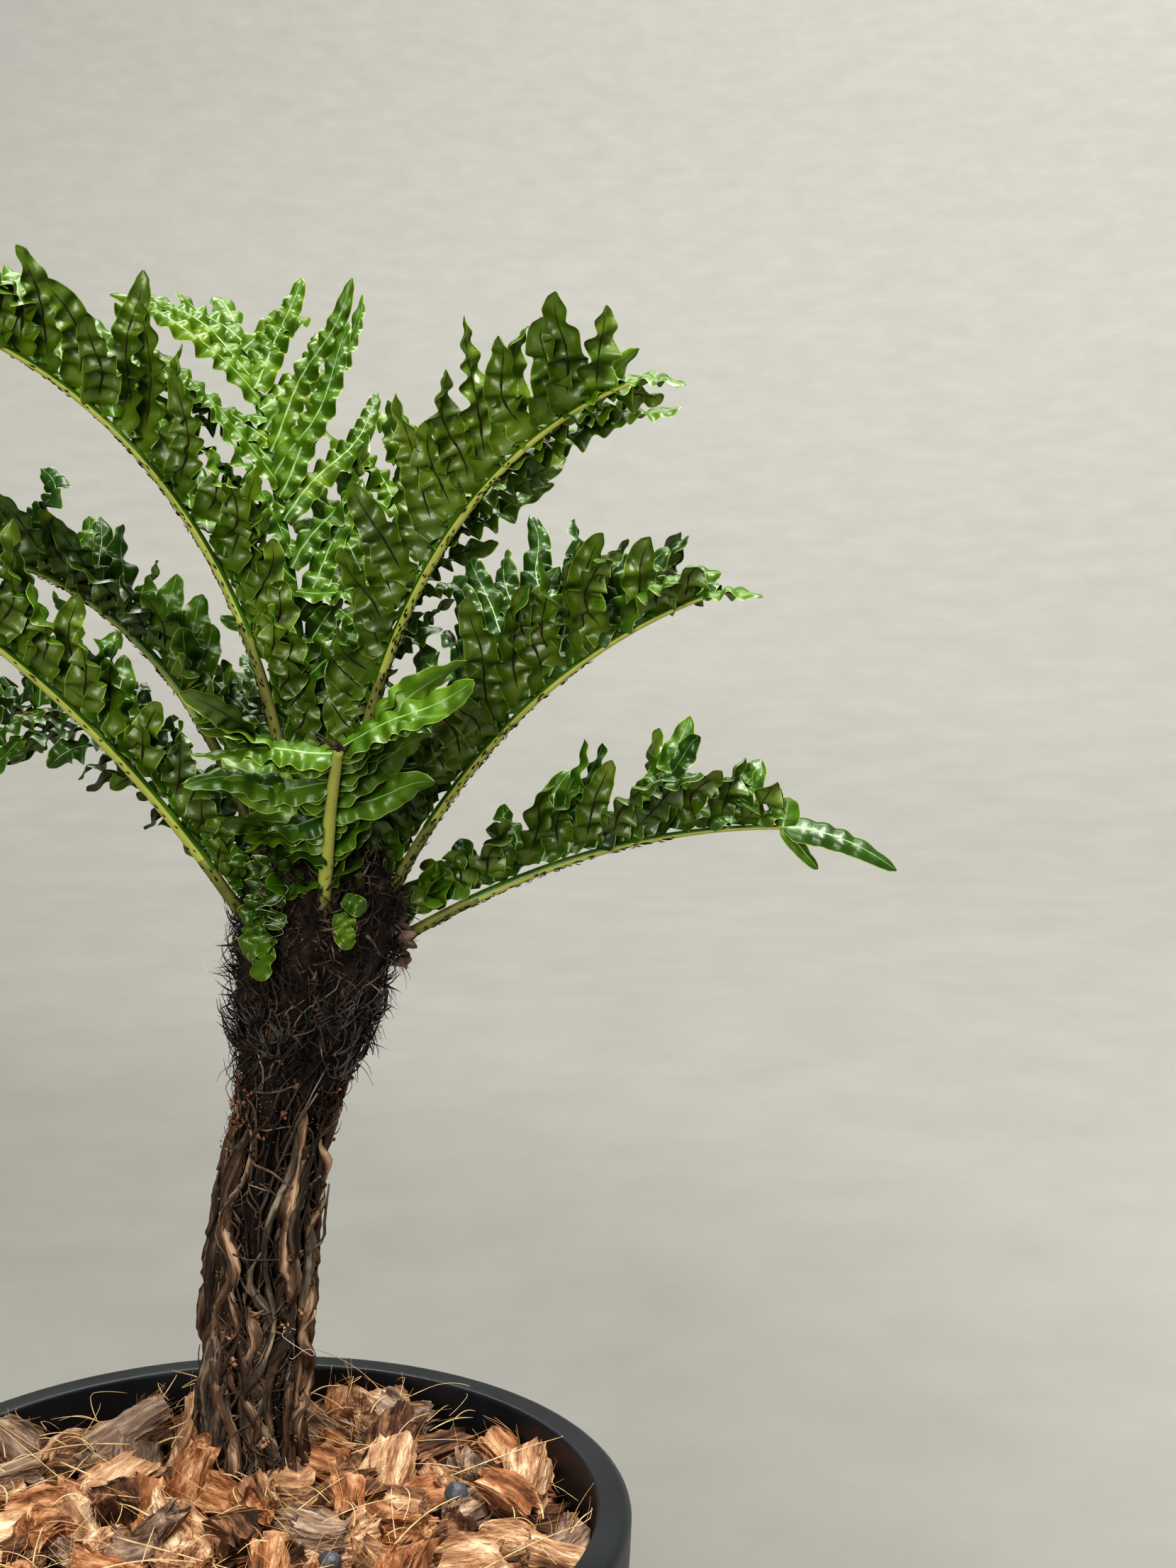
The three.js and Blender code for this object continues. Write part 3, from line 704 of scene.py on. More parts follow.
def clear_of_trunk(points, near):
    """Whether points stay outside a share of the trunk's radius."""
    low = points[points[:, 2] < 300]
    if len(low) == 0:
        return True
    share = share_at(low[:, 2])
    off = np.linalg.norm((low - trunk_line(share))[:, :2], axis=1)
    return bool((off > near * trunk_radius(share, np.zeros(len(low)))).all())


def wild_leaflet(ways, hand):
    """How far one leaflet strays from the rule: its sweep, the curl of its tip, its sway and its twist."""
    return dict(
        sweep=ways["forward"] + hand * ways["lean"] + rng.normal(0, ways["stray"]),
        curl=rng.uniform(*ways["curl"]),
        sway=rng.uniform(0.1, 0.6),
        phase=rng.uniform(0, 6.3),
        turn=rng.choice([-1, 1]) * rng.uniform(0.1, 2.5) * rng.choice([0.4, 1.0]),
        tuck=ways["tuck"],
    )


def leaflet_tint(frond, t):
    """Young fronds pale towards their tips, partly as paler new growth and partly as painted glow of light
    through the thin tips, and the first leaflets of a stalk stay small and bright.
    """
    tint = frond["tint"]
    if t < 0.12:
        return "lime" if rng.random() < 0.45 else "mature"
    # Young fronds turn lime towards the tips: partly new growth, partly painted glow of light through them
    if tint == "young":
        pale = t + rng.normal(0, 0.14)
        if pale > 0.68:
            return "lime"
        return "young" if pale > 0.34 else "mature"
    if frond["name"] == "mid_right":
        if t > 0.96 and rng.random() < 0.5:
            return "dead"
        return "dark" if rng.random() < 0.3 else "mature"
    if frond["name"] == "front_short" and rng.random() < 0.55:
        return "young"
    if tint == "mature":
        return "dark" if rng.random() < 0.25 else "mature"
    return "mature" if rng.random() < 0.2 else "dark"


def grow_leaflet(index, frond, frames, t, hand):
    """The leaflet at a place on the rib, cut back where it would meet another frond."""
    ways = habit(frond)
    length = leaflet_length(frond, t) * ways["long"] * rng.uniform(0.8, 1.15)
    drop = ways["droop"] * smoothstep(t, 0.3, 0.55) * (hand > 0)
    lift = math.radians(frond["lift"] + hand * ways["roll"] - drop + rng.normal(0, 60 * ways["stray"]))
    low, high = ways["twist"]
    twist = math.radians(low + (high - low) * t + rng.normal(0, 9))
    wild = wild_leaflet(ways, hand)
    for share in LENGTHS_TRIED:
        half = min(LEAF_HALF_WIDTH * ways["wide"], 0.46 * length * share)
        axis, face, edge = leaflet_axis(frames, t, hand, length * share, half, lift, twist, wild)
        probes = axis[[len(axis) // 3, (2 * len(axis)) // 3, -1]]
        outer = axis[len(axis) // 3 :]
        if is_free(index, probes, PROBE_RADIUS) and clear_of_trunk(outer, ways["near"]):
            take(index, probes, PROBE_RADIUS)
            break
    else:
        return
    length = length * share
    half = half * rng.uniform(0.92, 1.08)
    base = float(np.interp(math.sin(twist), [0.3, 0.9], [LEAF_BASE, 0.3]))
    crisp = float(np.interp(t, [0, 0.2, 0.5, 1], [0.6, 0.9, 1.0, 1.1]))
    crisp = crisp * rng.uniform(0.85, 1.25) * ways["crisp"]
    scoop = float(np.interp(t, [0, 0.3, 0.5], [0.45, 0.3, 0.0]))
    tint = leaflet_tint(frond, t)
    leaflet_surface(axis, face, edge, half, length, tint, crisp, scoop, length > 6, base)


def grow_foot_leaflets():
    """The small round leaflets on the crown, at the feet of the stalks."""
    for z, azimuth, length, heading, tint in FOOT_LEAFLETS:
        root, out = spot_on_trunk(z, math.radians(azimuth), 0.5)
        right = around_trunk(out)
        turn = math.radians(heading)
        n = max(10, int(length / LEAF_STEP))
        u = column(n + 1)
        along = unit(right * math.sin(turn) + UP * math.cos(turn) + out * (0.75 - 0.9 * u))
        axis = root + np.cumsum(along, axis=0) * length / n
        face = unit(out - (along @ out)[:, None] * along)
        edge = np.cross(along, face)
        crumple = FOOT_CRUMPLE.get(tint, FOOT_CRUMPLE_USUAL)
        leaflet_surface(axis, face, edge, 0.37 * length, length, tint, crumple, 0.3, full=False)


# Lobes at the feet of terminal leaflets, which grow last so that the draws before them stay the same
lobes = []


def grow_terminal(frond, frames):
    """The single leaflet that droops from the end of the rib. Lobes at its foot are noted for later."""
    ways = TERMINAL_USUAL | TERMINALS.get(frond["name"], {})
    length = ways["length"]
    tint = ways["tint"] or frond["tint"]
    place, tangent, up = (frames[key][-1] for key in ("place", "tangent", "up"))
    side = frames["side"]
    n = max(10, int(length / LEAF_STEP))
    u = column(n + 1)
    axis = place + tangent * length * u - up * TERMINAL_DROOP * length * u**2
    heading = unit(np.gradient(axis, axis=0))
    roll = math.radians(ways["roll"])
    flat = unit(np.cross(heading, np.broadcast_to(side, heading.shape)))
    edge = side * math.cos(roll) + flat * math.sin(roll)
    face = unit(np.cross(heading, edge))
    half = min(TERMINAL_HALF, 0.3 * length)
    leaflet_surface(axis, face, edge, half, length, tint, ways["crisp"], base=ways["base"])
    for angle, size, wide in ways["lobes"]:
        aim = math.radians(angle)
        out = tangent * math.cos(aim) + up * math.sin(aim)
        lobes.append((place, out, face[0], size, wide, frond["tint"]))


def grow_lobes():
    """The small lobes at the foot of a long terminal leaflet."""
    for place, out, face, size, wide, tint in lobes:
        across = unit(np.cross(face, out))
        rows = max(8, int(size / LEAF_STEP)) + 1
        stem = place + out * np.linspace(0, size, rows)[:, None]
        outer = np.tile(unit(np.cross(out, across)), (rows, 1))
        leaflet_surface(stem, outer, np.tile(across, (rows, 1)), wide, size, tint, crisp=0.25, base=0.4)


def broken_end(frames):
    """The brown stub where a frond broke off, with shreds of rib."""
    place, tangent, side, up = frame_at(frames, 1.0)
    for _ in range(7):
        lean = side * rng.normal(0, 0.5) + up * rng.normal(0, 0.4)
        u = column(6)
        shred = (tangent + lean * u) * rng.uniform(2.5, 6.5) * u
        path = place - tangent * 1.5 + shred + side * rng.normal(0, 0.5)
        strand(leaves["dead"], path, 0.6, 0.25, 5)


def rib_mesh(frames, low, high, kind, swell=1.0, cut=1.0):
    """A stretch of rib: rounded below and nearly flat above. Past the stalk its top is green."""
    n = max(6, int((high - low) * 70))
    t = np.linspace(low, high, n)
    place = along_rib(frames, "place", t)
    up = unit(along_rib(frames, "up", t))
    half = rib_half_width(t * cut)[:, None] * swell

    def skin(across, tall):
        across = across * half
        tall = tall * half
        return place[:, None] + frames["side"] * across[..., None] + up[:, None] * tall[..., None]

    angle = round_angles(RIB_SIDES)
    tall = np.where(np.sin(angle) > 0, 0.55, 1.15)[None] * np.sin(angle)[None]
    leaves[kind].add(skin(np.cos(angle)[None], tall), tube_faces(n, RIB_SIDES))
    if kind == "rib":
        top = np.linspace(-0.15, np.pi + 0.15, 7)
        cover = skin(1.06 * np.cos(top)[None], 0.68 * np.sin(top)[None])
        leaves["upper_mature"].add(cover, grid_faces(n, len(top)))


def rib_scales(frames, count):
    """Dark pointed scales, bent along their middle, that lie along the underside of the lower rib."""
    for _ in range(count):
        t = 0.75 * rng.random() ** 1.9
        place, tangent, side, up = frame_at(frames, t)
        angle = rng.uniform(-1.2, 1.2)
        out = side * math.sin(angle) - up * math.cos(angle)
        root = place + out * rib_half_width(t) * 1.02
        heading = tangent * rng.choice([1, 1, -1]) + out * rng.uniform(0.05, 0.4)
        heading = unit(heading + side * rng.normal(0, 0.25))
        across = unit(np.cross(out, heading))
        length = rng.uniform(1.0, 2.4)
        width = rng.uniform(0.25, 0.5)
        normal = np.cross(heading, across)
        middle = root + heading * length * 0.4
        left = middle - across * width / 2 + normal * 0.08
        right = middle + across * width / 2 + normal * 0.08
        verts = [root, left, root + heading * length, right, middle + normal * 0.3]
        leaves["fleck"].add(verts, SCALE_FACES)


def grow_fronds():
    """Every frond with its rib, scales and leaflets. The broken one grows first, to keep its room."""
    all_frames = [rib_frames(frond) for frond in FRONDS]
    for index, frames in enumerate(all_frames):
        take(index, frames["place"][::4], RIB_BALL_RADIUS)
    grow_foot_leaflets()
    for index in sorted(range(len(FRONDS)), key=lambda place: FRONDS[place]["name"] != "front_short"):
        frond = FRONDS[index]
        frames = all_frames[index]
        ways = habit(frond)
        rib_mesh(frames, 0.0, ways["stalk"], "stalk", 1.02 * ways["rib"], ways["cut"])
        rib_mesh(frames, ways["stalk"] - 0.02, 1.0, "rib", ways["rib"], ways["cut"])
        rib_scales(frames, ways["scales"])
        t = LEAF_FIRST
        while t < LEAF_LAST:
            open_out = LEAF_PITCH_AT_STALK + (1 - LEAF_PITCH_AT_STALK) * smoothstep(t, 0.08, 0.45)
            step = LEAF_PITCH * open_out * ways["pitch"] / frond["length"]
            for hand in (1, -1):
                grow_leaflet(index, frond, frames, min(t + 0.25 * step * hand, LEAF_LAST), hand)
            t += step
        if ways["cut"] < 1:
            broken_end(frames)
        else:
            grow_terminal(frond, frames)


# Trunk


def trunk_core():
    """The dark body under the roots, grained and sunk below the trunk's surface. Its dark colour is partly
    the stem's own and partly painted shade in the gaps between the roots.
    """
    rows, cols = 170, 90
    share = np.repeat(np.linspace(0, 1, rows), cols)
    angle = np.tile(round_angles(cols), rows)
    centre = trunk_line(share)
    z = centre[:, 2]
    grain = 0.45 * np.sin(23 * angle + 0.09 * z + 2 * np.sin(0.05 * z + 3 * angle))
    grain += 0.35 * np.sin(0.55 * z + 7 * np.sin(4 * angle)) + 0.3 * np.sin(41 * angle - 0.21 * z)
    grain += rng.normal(0, 0.25, len(z))
    deep = 3.7 - 2.5 * smoothstep(z, 225, 250)
    r = trunk_radius(share, angle) - deep + grain * np.where(share > 0.97, 0.3, 1)
    bark["core"].add(centre + r[:, None] * outwards(angle), tube_faces(rows, cols))


def trunk_roots():
    """Roots as thick as string that weave down the trunk to its foot."""
    for k in range(ROOTS):
        top = rng.uniform(*ROOT_TOPS)
        low = ROOT_FOOT if rng.random() < 0.7 else rng.uniform(132, top - ROOT_SHORTEST)
        n = max(20, int((top - low) / 1.5))
        z = np.linspace(top, low, n)
        swing = rng.uniform(0.06, 0.25)
        weave = swing * np.sin(FULL_TURN * z / rng.uniform(22, 50) + rng.uniform(0, 6.3))
        angle = FULL_TURN * (k * 0.618) + weave + wander(n, rng.uniform(0.1, 0.4), 9)
        thick = rng.uniform(*ROOT_RADIUS) * (1 + 0.28 * np.sin(np.linspace(0, rng.uniform(8, 20), n) + k))
        thick = thick * (1 + rng.normal(0, 0.07, n))
        ends = np.clip(np.minimum(np.linspace(0, 8, n), np.linspace(10, 0.3, n)), 0.2, 1)
        off = rng.uniform(-2.6, -0.3) + wander(n, 1.0, 8) + 1.5 * np.clip((152 - z) / 16, 0, 1)
        if k in BULGING_ROOTS:
            angle = np.radians(186 + k) + wander(n, 0.12, 9)
            off = off + 2.2 * np.exp(-(((z - BULGE_HEIGHT) / 14) ** 2))
        path, _ = on_trunk(z, angle, off)
        kind = ("root", "old_root", "dark_root")[rng.choice(3, p=(0.42, 0.26, 0.32))]
        verts, faces, grain = tube(path, thick * ends, 10)
        bark[kind].add(verts + rng.normal(0, 0.14, verts.shape), faces, grain)


def trunk_rootlets():
    """Fine roots that cross the thick ones at all angles."""
    n = 12
    for k in range(ROOTLETS):
        z0 = rng.uniform(*ROOTLET_HEIGHTS)
        length = rng.uniform(*ROOTLET_LENGTH)
        lean = rng.normal(0, 0.7)
        z = np.clip(z0 + np.linspace(0, length, n) * math.cos(lean), 131, 290)
        angle = any_angle() + np.linspace(0, length, n) * math.sin(lean) / 13 + wander(n, 0.18, 2)
        off = rng.uniform(-2.2, 0.0) + wander(n, 0.9, 2)
        path, _ = on_trunk(z, angle, off)
        strand(bark["rootlet" if k % 3 else "old_root"], path, rng.uniform(*ROOTLET_RADIUS), 0.5, 5)


def hair_path(root, out, length, stand, climb, skew):
    """A hair that leaves the trunk outwards and hooks up or down."""
    n = 8
    u = column(n)
    around = around_trunk(out)
    heading = out * stand * (1.25 - u) + around * skew + UP * climb * (0.25 + 1.1 * u)
    bow = around * rng.normal(0, 0.9) * np.sin(np.pi * u)
    return root + np.cumsum(unit(heading), axis=0) * length / n + bow


def trunk_hairs():
    """Stiff black hairs that stand out and hook up on the upper trunk, alone and in small fans whose grey
    colour is a painted glint of light on the dark hairs.
    """
    for _ in range(HAIRS):
        z0 = HAIR_TOP - HAIR_SPAN * rng.random() ** 1.15
        upper = smoothstep(z0, *HAIR_EDGE)
        if rng.random() > 0.22 + 0.78 * upper:
            continue
        root, out = spot_on_trunk(z0, any_angle(), -1.0)
        length = rng.uniform(*HAIR_LENGTH) * (0.6 + 0.4 * upper)
        climb = rng.choice([1.0, 1.0, -0.7])
        path = hair_path(root, out, length, rng.uniform(0.1, 0.75), climb, rng.normal(0, 0.5))
        strand(bark["hair"], path, rng.uniform(*HAIR_RADIUS), 0.25, 3)
    # Fans of hairs coloured grey, as painted glints
    for _ in range(HAIR_FANS):
        z0 = rng.uniform(*FAN_HEIGHTS)
        root, out = spot_on_trunk(z0, any_angle(), -0.2)
        for skew in np.linspace(-0.8, 0.8, rng.integers(3, 7)):
            path = hair_path(root, out, rng.uniform(*FAN_LENGTH), rng.uniform(0.25, 0.55), 0.9, skew)
            strand(bark["fan_painted_glint"], path, rng.uniform(*FAN_RADIUS), 0.3, 5)


def crown_mat():
    """Brown papery scales that mat the crown and the feet of the fronds."""
    half = np.array([1, 0.9, 0.55, 0.08])[:, None]
    n = len(half)
    u = column(n)
    for _ in range(MAT_SCALES):
        z0 = MAT_TOP - MAT_SPAN * rng.random() ** 1.1
        root, out = spot_on_trunk(z0, any_angle(), -0.9)
        around = around_trunk(out)
        length = rng.uniform(*MAT_LENGTH)
        climb = rng.uniform(-0.3, 1.0)
        lean = out * rng.uniform(0.1, 0.7) + around * rng.normal(0, 0.8)
        path = root + np.cumsum(unit(lean + UP * climb * (0.5 + u)), axis=0) * length / n
        wide = unit(around + UP * rng.normal(0, 0.4)) * rng.uniform(*MAT_HALF_WIDTH)
        strip = np.stack([path - wide * half, path + wide * half], 1)
        bark["mat"].add(strip, grid_faces(n, 2))


def crumb(centre, size):
    """A rough crumb of husk."""
    bark["speck"].add(centre + CRUMB_CORNERS * size * rng.uniform(0.5, 1.4, (6, 3)), CRUMB_FACES)


def trunk_specks():
    """Crumbs of husk, thick on a band below the hairs and at the foot, with a cluster here and there."""
    for k in range(CRUMBS):
        z0 = rng.normal(CRUMB_BAND, 6) if k % 4 == 0 else rng.uniform(*CRUMB_HEIGHTS)
        if k % 4 in (1, 2):
            z0 = CRUMB_HEIGHTS[0] + 70 * rng.random() ** 1.6
        off = rng.uniform(-2.4, -0.1)
        root, out = spot_on_trunk(z0, any_angle(), off)
        crumb(root, rng.uniform(*CRUMB_SIZE))
        if k % CLUSTER_EVERY == 0:
            for _ in range(CLUSTER_CRUMBS):
                crumb(root + 1.1 * out + rng.normal(0, 0.6, 3), rng.uniform(*CLUSTER_SIZE))


def trunk_threads():
    """A few pale threads caught on the trunk."""
    n = 44
    for z0, azimuth in THREADS:
        root, out = spot_on_trunk(z0, math.radians(azimuth), 1.3)
        curl = np.linspace(0, rng.uniform(5, 11), n) + rng.uniform(0, 6)
        rise = np.linspace(0, rng.uniform(5, 13), n)
        drift = np.stack([2.2 * np.sin(curl), 1.2 * np.cos(curl), rise], -1)
        path = root + drift + np.stack([wander(n, 2.0, 6), wander(n, 1.0, 6), wander(n, 2.0, 6)], -1)
        bark["thread"].add(*tube(path + out * 1.5, THREAD_RADIUS, 4))


# Pot


def pot_inner(z):
    """The radius of the pot's inside at a height."""
    return POT_BASE_RADIUS - POT_WALL + (POT_RIM_INNER - POT_BASE_RADIUS + POT_WALL) * z / POT_HEIGHT


def arc(centre, radius, start, end, steps):
    """Points on an arc, between two angles in degrees."""
    angle = np.radians(np.linspace(start, end, steps))
    return [(centre[0] + radius * math.cos(a), centre[1] + radius * math.sin(a)) for a in angle]


def pot_piece(material):
    """The pot turned from one profile with rounded edges, and its drain holes cut through the floor."""
    band = POT_HEIGHT - POT_RIM_BAND
    outer = pot_inner(band) + POT_WALL
    profile = [(0, 0), (30, 0), (POT_BASE_RADIUS - 3.0, 0)]
    profile += arc((POT_BASE_RADIUS - 2.6, 2.6), 2.6, -80, 0, 6)
    profile += [(pot_inner(z) + POT_WALL, z) for z in np.linspace(8, band - 1.5, 12)]
    profile += arc((outer + 1.4, band - 1.0), 1.4, 170, 90, 5)
    profile += arc((POT_RIM_RADIUS - 2.4, band + 2.2), 1.8, -90, -8, 6)
    profile += [(POT_RIM_RADIUS - 0.35, band + 7)]
    profile += arc((POT_RIM_RADIUS - 2.3, POT_HEIGHT - 2.3), 2.3, 0, 90, 9)
    profile += [(POT_RIM_INNER + 3.2, POT_HEIGHT - 0.05)]
    profile += arc((POT_RIM_INNER + 1.2, POT_HEIGHT - 1.3), 1.2, 90, 180, 6)
    profile += [(pot_inner(z), z) for z in np.linspace(POT_HEIGHT - 4, POT_FLOOR, 14)]
    profile += [(30, POT_FLOOR), (0, POT_FLOOR)]
    r, z = np.array(profile).T
    shape = Kind()
    verts = turned_grid(np.maximum(r, 1e-4), z, POT_SIDES)
    shape.add(verts, grid_faces(len(r), POT_SIDES, closed=True))
    piece = shape.build("pot_shell", material, slot="pot")
    drains = Kind()
    for k in range(DRAIN_HOLES):
        a = FULL_TURN * k / DRAIN_HOLES
        foot = np.array([DRAIN_CIRCLE * math.cos(a), DRAIN_CIRCLE * math.sin(a), -6.0])
        path = foot + np.outer(np.linspace(0, 1, 2), (0, 0, 16.0))
        drains.add(*tube(path, DRAIN_RADIUS, 24))
    cutter = drains.build("drain_cutter", material)
    weld = piece.modifiers.new("weld", "WELD")
    weld.merge_threshold = 1e-6
    cut = piece.modifiers.new("drains", "BOOLEAN")
    cut.operation = "DIFFERENCE"
    cut.solver = "EXACT"
    cut.object = cutter
    graph = bpy.context.evaluated_depsgraph_get()
    mesh = bpy.data.meshes.new_from_object(piece.evaluated_get(graph))
    piece.modifiers.clear()
    piece.data = mesh
    bpy.data.objects.remove(cutter)
    mesh.materials.clear()
    mesh.materials.append(material)
    mesh.polygons.foreach_set("use_smooth", np.full(len(mesh.polygons), True))
    mesh.set_sharp_from_angle(angle=math.radians(35))
    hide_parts("pot")


# Husk mulch


def turned_about(points, angles):
    """Points turned about the x, y and z axes, in that order."""
    cx, cy, cz = (math.cos(a) for a in angles)
    sx, sy, sz = (math.sin(a) for a in angles)
    rx = np.array([(1, 0, 0), (0, cx, -sx), (0, sx, cx)])
    ry = np.array([(cy, 0, sy), (0, 1, 0), (-sy, 0, cy)])
    rz = np.array([(cz, -sz, 0), (sz, cz, 0), (0, 0, 1)])
    return points @ (rz @ ry @ rx).T


def keep_in_pot(points):
    """Points drawn in where they would pass through the pot's wall or the soil."""
    r = np.linalg.norm(points[:, :2], axis=1)
    limit = pot_inner(points[:, 2]) - 0.8
    points[:, :2] *= np.minimum(1, limit / np.maximum(r, 1e-6))[:, None]
    points[:, 2] = np.maximum(points[:, 2], MULCH_LOW)
    return points


def husk_chip(centre, length, width, height, angles, rounds):
    """A chunk of husk: fibre bundles run along it and fray at both ends."""
    a = round_angles(rounds)
    y = np.sign(np.cos(a)) * np.abs(np.cos(a)) ** 0.4
    z = np.sign(np.sin(a)) * np.abs(np.sin(a)) ** 0.4
    bundle = 1 + 0.12 * np.sin(a * rng.integers(2, 5) + rng.uniform(0, 6)) + rng.normal(0, 0.06, rounds)
    fray_low = rng.uniform(-0.1, 0.08, rounds)
    fray_high = rng.uniform(-0.1, 0.08, rounds)
    u = column(CHIP_ROWS)
    x = u - 0.5
    x = x + np.where(u < 0.5, -fray_low[None] * (1 - 2 * u), fray_high[None] * (2 * u - 1))
    end = 1 - 0.12 * np.abs(2 * u - 1) ** 6
    lump = 1 + 0.13 * np.sin(rng.uniform(3, 9) * u + rng.uniform(0, 6))
    lump = lump + rng.normal(0, 0.05, (CHIP_ROWS, rounds))
    taper = 1 + rng.uniform(-0.35, 0.35) * x
    yy = y[None] * bundle[None] * end * lump * taper * width / 2
    zz = z[None] * bundle[None] * end * lump * taper * height / 2
    zz = zz + rng.uniform(-0.3, 0.3) * height * (2 * x) ** 2
    yy = yy + rng.uniform(-0.25, 0.25) * width * (2 * x) ** 2
    verts = np.stack([x * length, yy, zz], -1).reshape(-1, 3)
    verts = np.vstack([verts, [(-0.46 * length, 0, 0), (0.46 * length, 0, 0)]])
    grain = verts * (CHIP_STRETCH, 1, 1) + rng.uniform(0, GRAIN_SPREAD, 3)
    low, high = CHIP_ROWS * rounds, CHIP_ROWS * rounds + 1
    top = (CHIP_ROWS - 1) * rounds
    k = np.arange(rounds)
    nxt = (k + 1) % rounds
    first = np.stack([np.full(rounds, low), nxt, k, k], -1)
    second = np.stack([np.full(rounds, high), top + k, top + nxt, top + nxt], -1)
    faces = np.vstack([grid_faces(CHIP_ROWS, rounds, closed=True), first, second])
    return keep_in_pot(turned_about(verts, angles) + centre), faces, grain


def husk_fuzz(verts, rounds):
    """Fibres that fray from both ends of a chip and lift off its sides."""
    last = CHIP_ROWS - 1
    u = column(5)
    for _ in range(CHIP_FUZZ):
        k = rng.integers(0, rounds)
        row, inner = (0, 2) if rng.random() < 0.5 else (last, last - 2)
        if rng.random() < 0.35:
            row, inner = (3, 1)
        root = verts[inner * rounds + k]
        along = unit(verts[row * rounds + k] - root)
        out = unit(root - verts.mean(0))
        length = rng.uniform(*FUZZ_LENGTH)
        path = root + (along + out * 0.25) * length * u + rng.normal(0, 1.3, 3) * u**2
        strand(husk["fibre"], keep_in_pot(path), rng.uniform(*FUZZ_RADIUS), 0.4, 3)


def heap(x, y):
    """How high the mulch lies: a little higher round the trunk than at the wall."""
    off = np.hypot(x - TRUNK_PATH[0][0], y - TRUNK_PATH[0][1])
    return MULCH_LEVEL + HEAP_RISE * np.exp(-((off / HEAP_REACH) ** 2))


def lay_bed():
    """The dark rough bed under the chips."""
    rows, cols = 14, 60
    r = np.linspace(0.5, pot_inner(MULCH_LEVEL) - 1.0, rows)
    verts = turned_grid(r, np.zeros(rows), cols)
    verts[..., 2] = heap(verts[..., 0], verts[..., 1]) - 5 + rng.normal(0, 0.8, (rows, cols))
    husk["bed"].add(verts, grid_faces(rows, cols, closed=True))


def lay_chips():
    """Layers of chips, spread evenly by the golden angle and tilted more towards the top."""
    for count, lift, tilt, rounds in CHIP_LAYERS:
        for k in range(count):
            reach = CHIP_REACH * math.sqrt((k + 0.5) / count)
            turn = k * math.pi * GOLDEN_STEP + lift + rng.normal(0, 0.15)
            cx = reach * math.cos(turn)
            cy = reach * math.sin(turn)
            length = rng.uniform(*CHIP_LENGTH)
            width = rng.uniform(*CHIP_WIDTH)
            height = rng.uniform(*CHIP_HEIGHT)
            angles = (rng.normal(0, tilt), rng.normal(0, tilt * 0.7), any_angle())
            centre = np.array([cx, cy, heap(cx, cy) + lift - 1.5 + rng.normal(0, 1.2)])
            # The lowest layer is brown, as painted shade in the gaps between the upper chips
            kind = CHIP_KINDS[rng.choice(4, p=CHIP_SHARES)] if lift > 0 else "brown"
            verts, faces, grain = husk_chip(centre, length, width, height, angles, rounds)
            husk[kind].add(verts, faces, grain)
            if lift > 0:
                husk_fuzz(verts, rounds)


def lay_straws():
    """Loose fibres on the chips, one in four of them long."""
    n = 10
    for k in range(STRAWS):
        long = k % 4 == 0
        reach = STRAW_REACH * math.sqrt(rng.random())
        turn = any_angle()
        length = rng.uniform(*(STRAW_LONG if long else STRAW_SHORT))
        heading = any_angle()
        bearing = heading + np.linspace(0, rng.normal(0, 0.35 if long else 0.9), n)
        step = np.stack([np.cos(bearing), np.sin(bearing), np.full(n, rng.normal(0, 0.14))], -1)
        start = np.array([reach * math.cos(turn), reach * math.sin(turn), 0])
        path = start + np.cumsum(step, axis=0) * length / n
        level = heap(path[0, 0], path[0, 1]) + rng.uniform(3.5, 8.0)
        path[:, 2] += level + 1.5 * np.sin(np.linspace(0, 3, n))
        strand(husk["straw"], keep_in_pot(path), rng.uniform(*STRAW_RADIUS), 0.5, 5)


def lay_beads():
    """The grey beads on the chips."""
    rows, cols = 12, 18
    lat = np.linspace(-np.pi / 2 + 0.01, np.pi / 2 - 0.01, rows)
    ball = turned_grid(np.cos(lat), np.sin(lat), cols).reshape(-1, 3)
    for centre in BEADS:
        verts = ball * BEAD_RADIUS * (1 + rng.normal(0, 0.02, (rows * cols, 1)))
        husk["bead"].add(verts + np.array(centre), grid_faces(rows, cols, closed=True))


# Materials


def set_inputs(tree, node, inputs):
    """Sets a node's inputs, or links those that are given another node's output."""
    for name, value in inputs.items():
        if isinstance(value, bpy.types.NodeSocket):
            tree.links.new(value, node.inputs[name])
        else:
            node.inputs[name].default_value = value


def add_node(tree, kind, inputs):
    """A new shader node with its inputs set."""
    node = tree.nodes.new(f"ShaderNode{kind}")
    set_inputs(tree, node, inputs)
    return node


def object_place(tree):
    """The output that gives a point's place on its piece."""
    return add_node(tree, "TexCoord", {}).outputs["Object"]


def grain_place(tree):
    """The output that gives a point's place along its fibres."""
    coords = add_node(tree, "Attribute", {})
    coords.attribute_name = "grain"
    return coords.outputs["Vector"]


def colour_ramp(tree, share, stops):
    """The output of a colour ramp through stops of (place, colour)."""
    ramp = add_node(tree, "ValToRGB", {"Fac": share})
    elements = ramp.color_ramp.elements
    for k, (place, colour) in ((0, stops[0]), (1, stops[-1])):
        elements[k].position = place
        elements[k].color = (*colour, 1)
    for place, colour in stops[1:-1]:
        elements.new(place).color = (*colour, 1)
    return ramp.outputs["Color"]


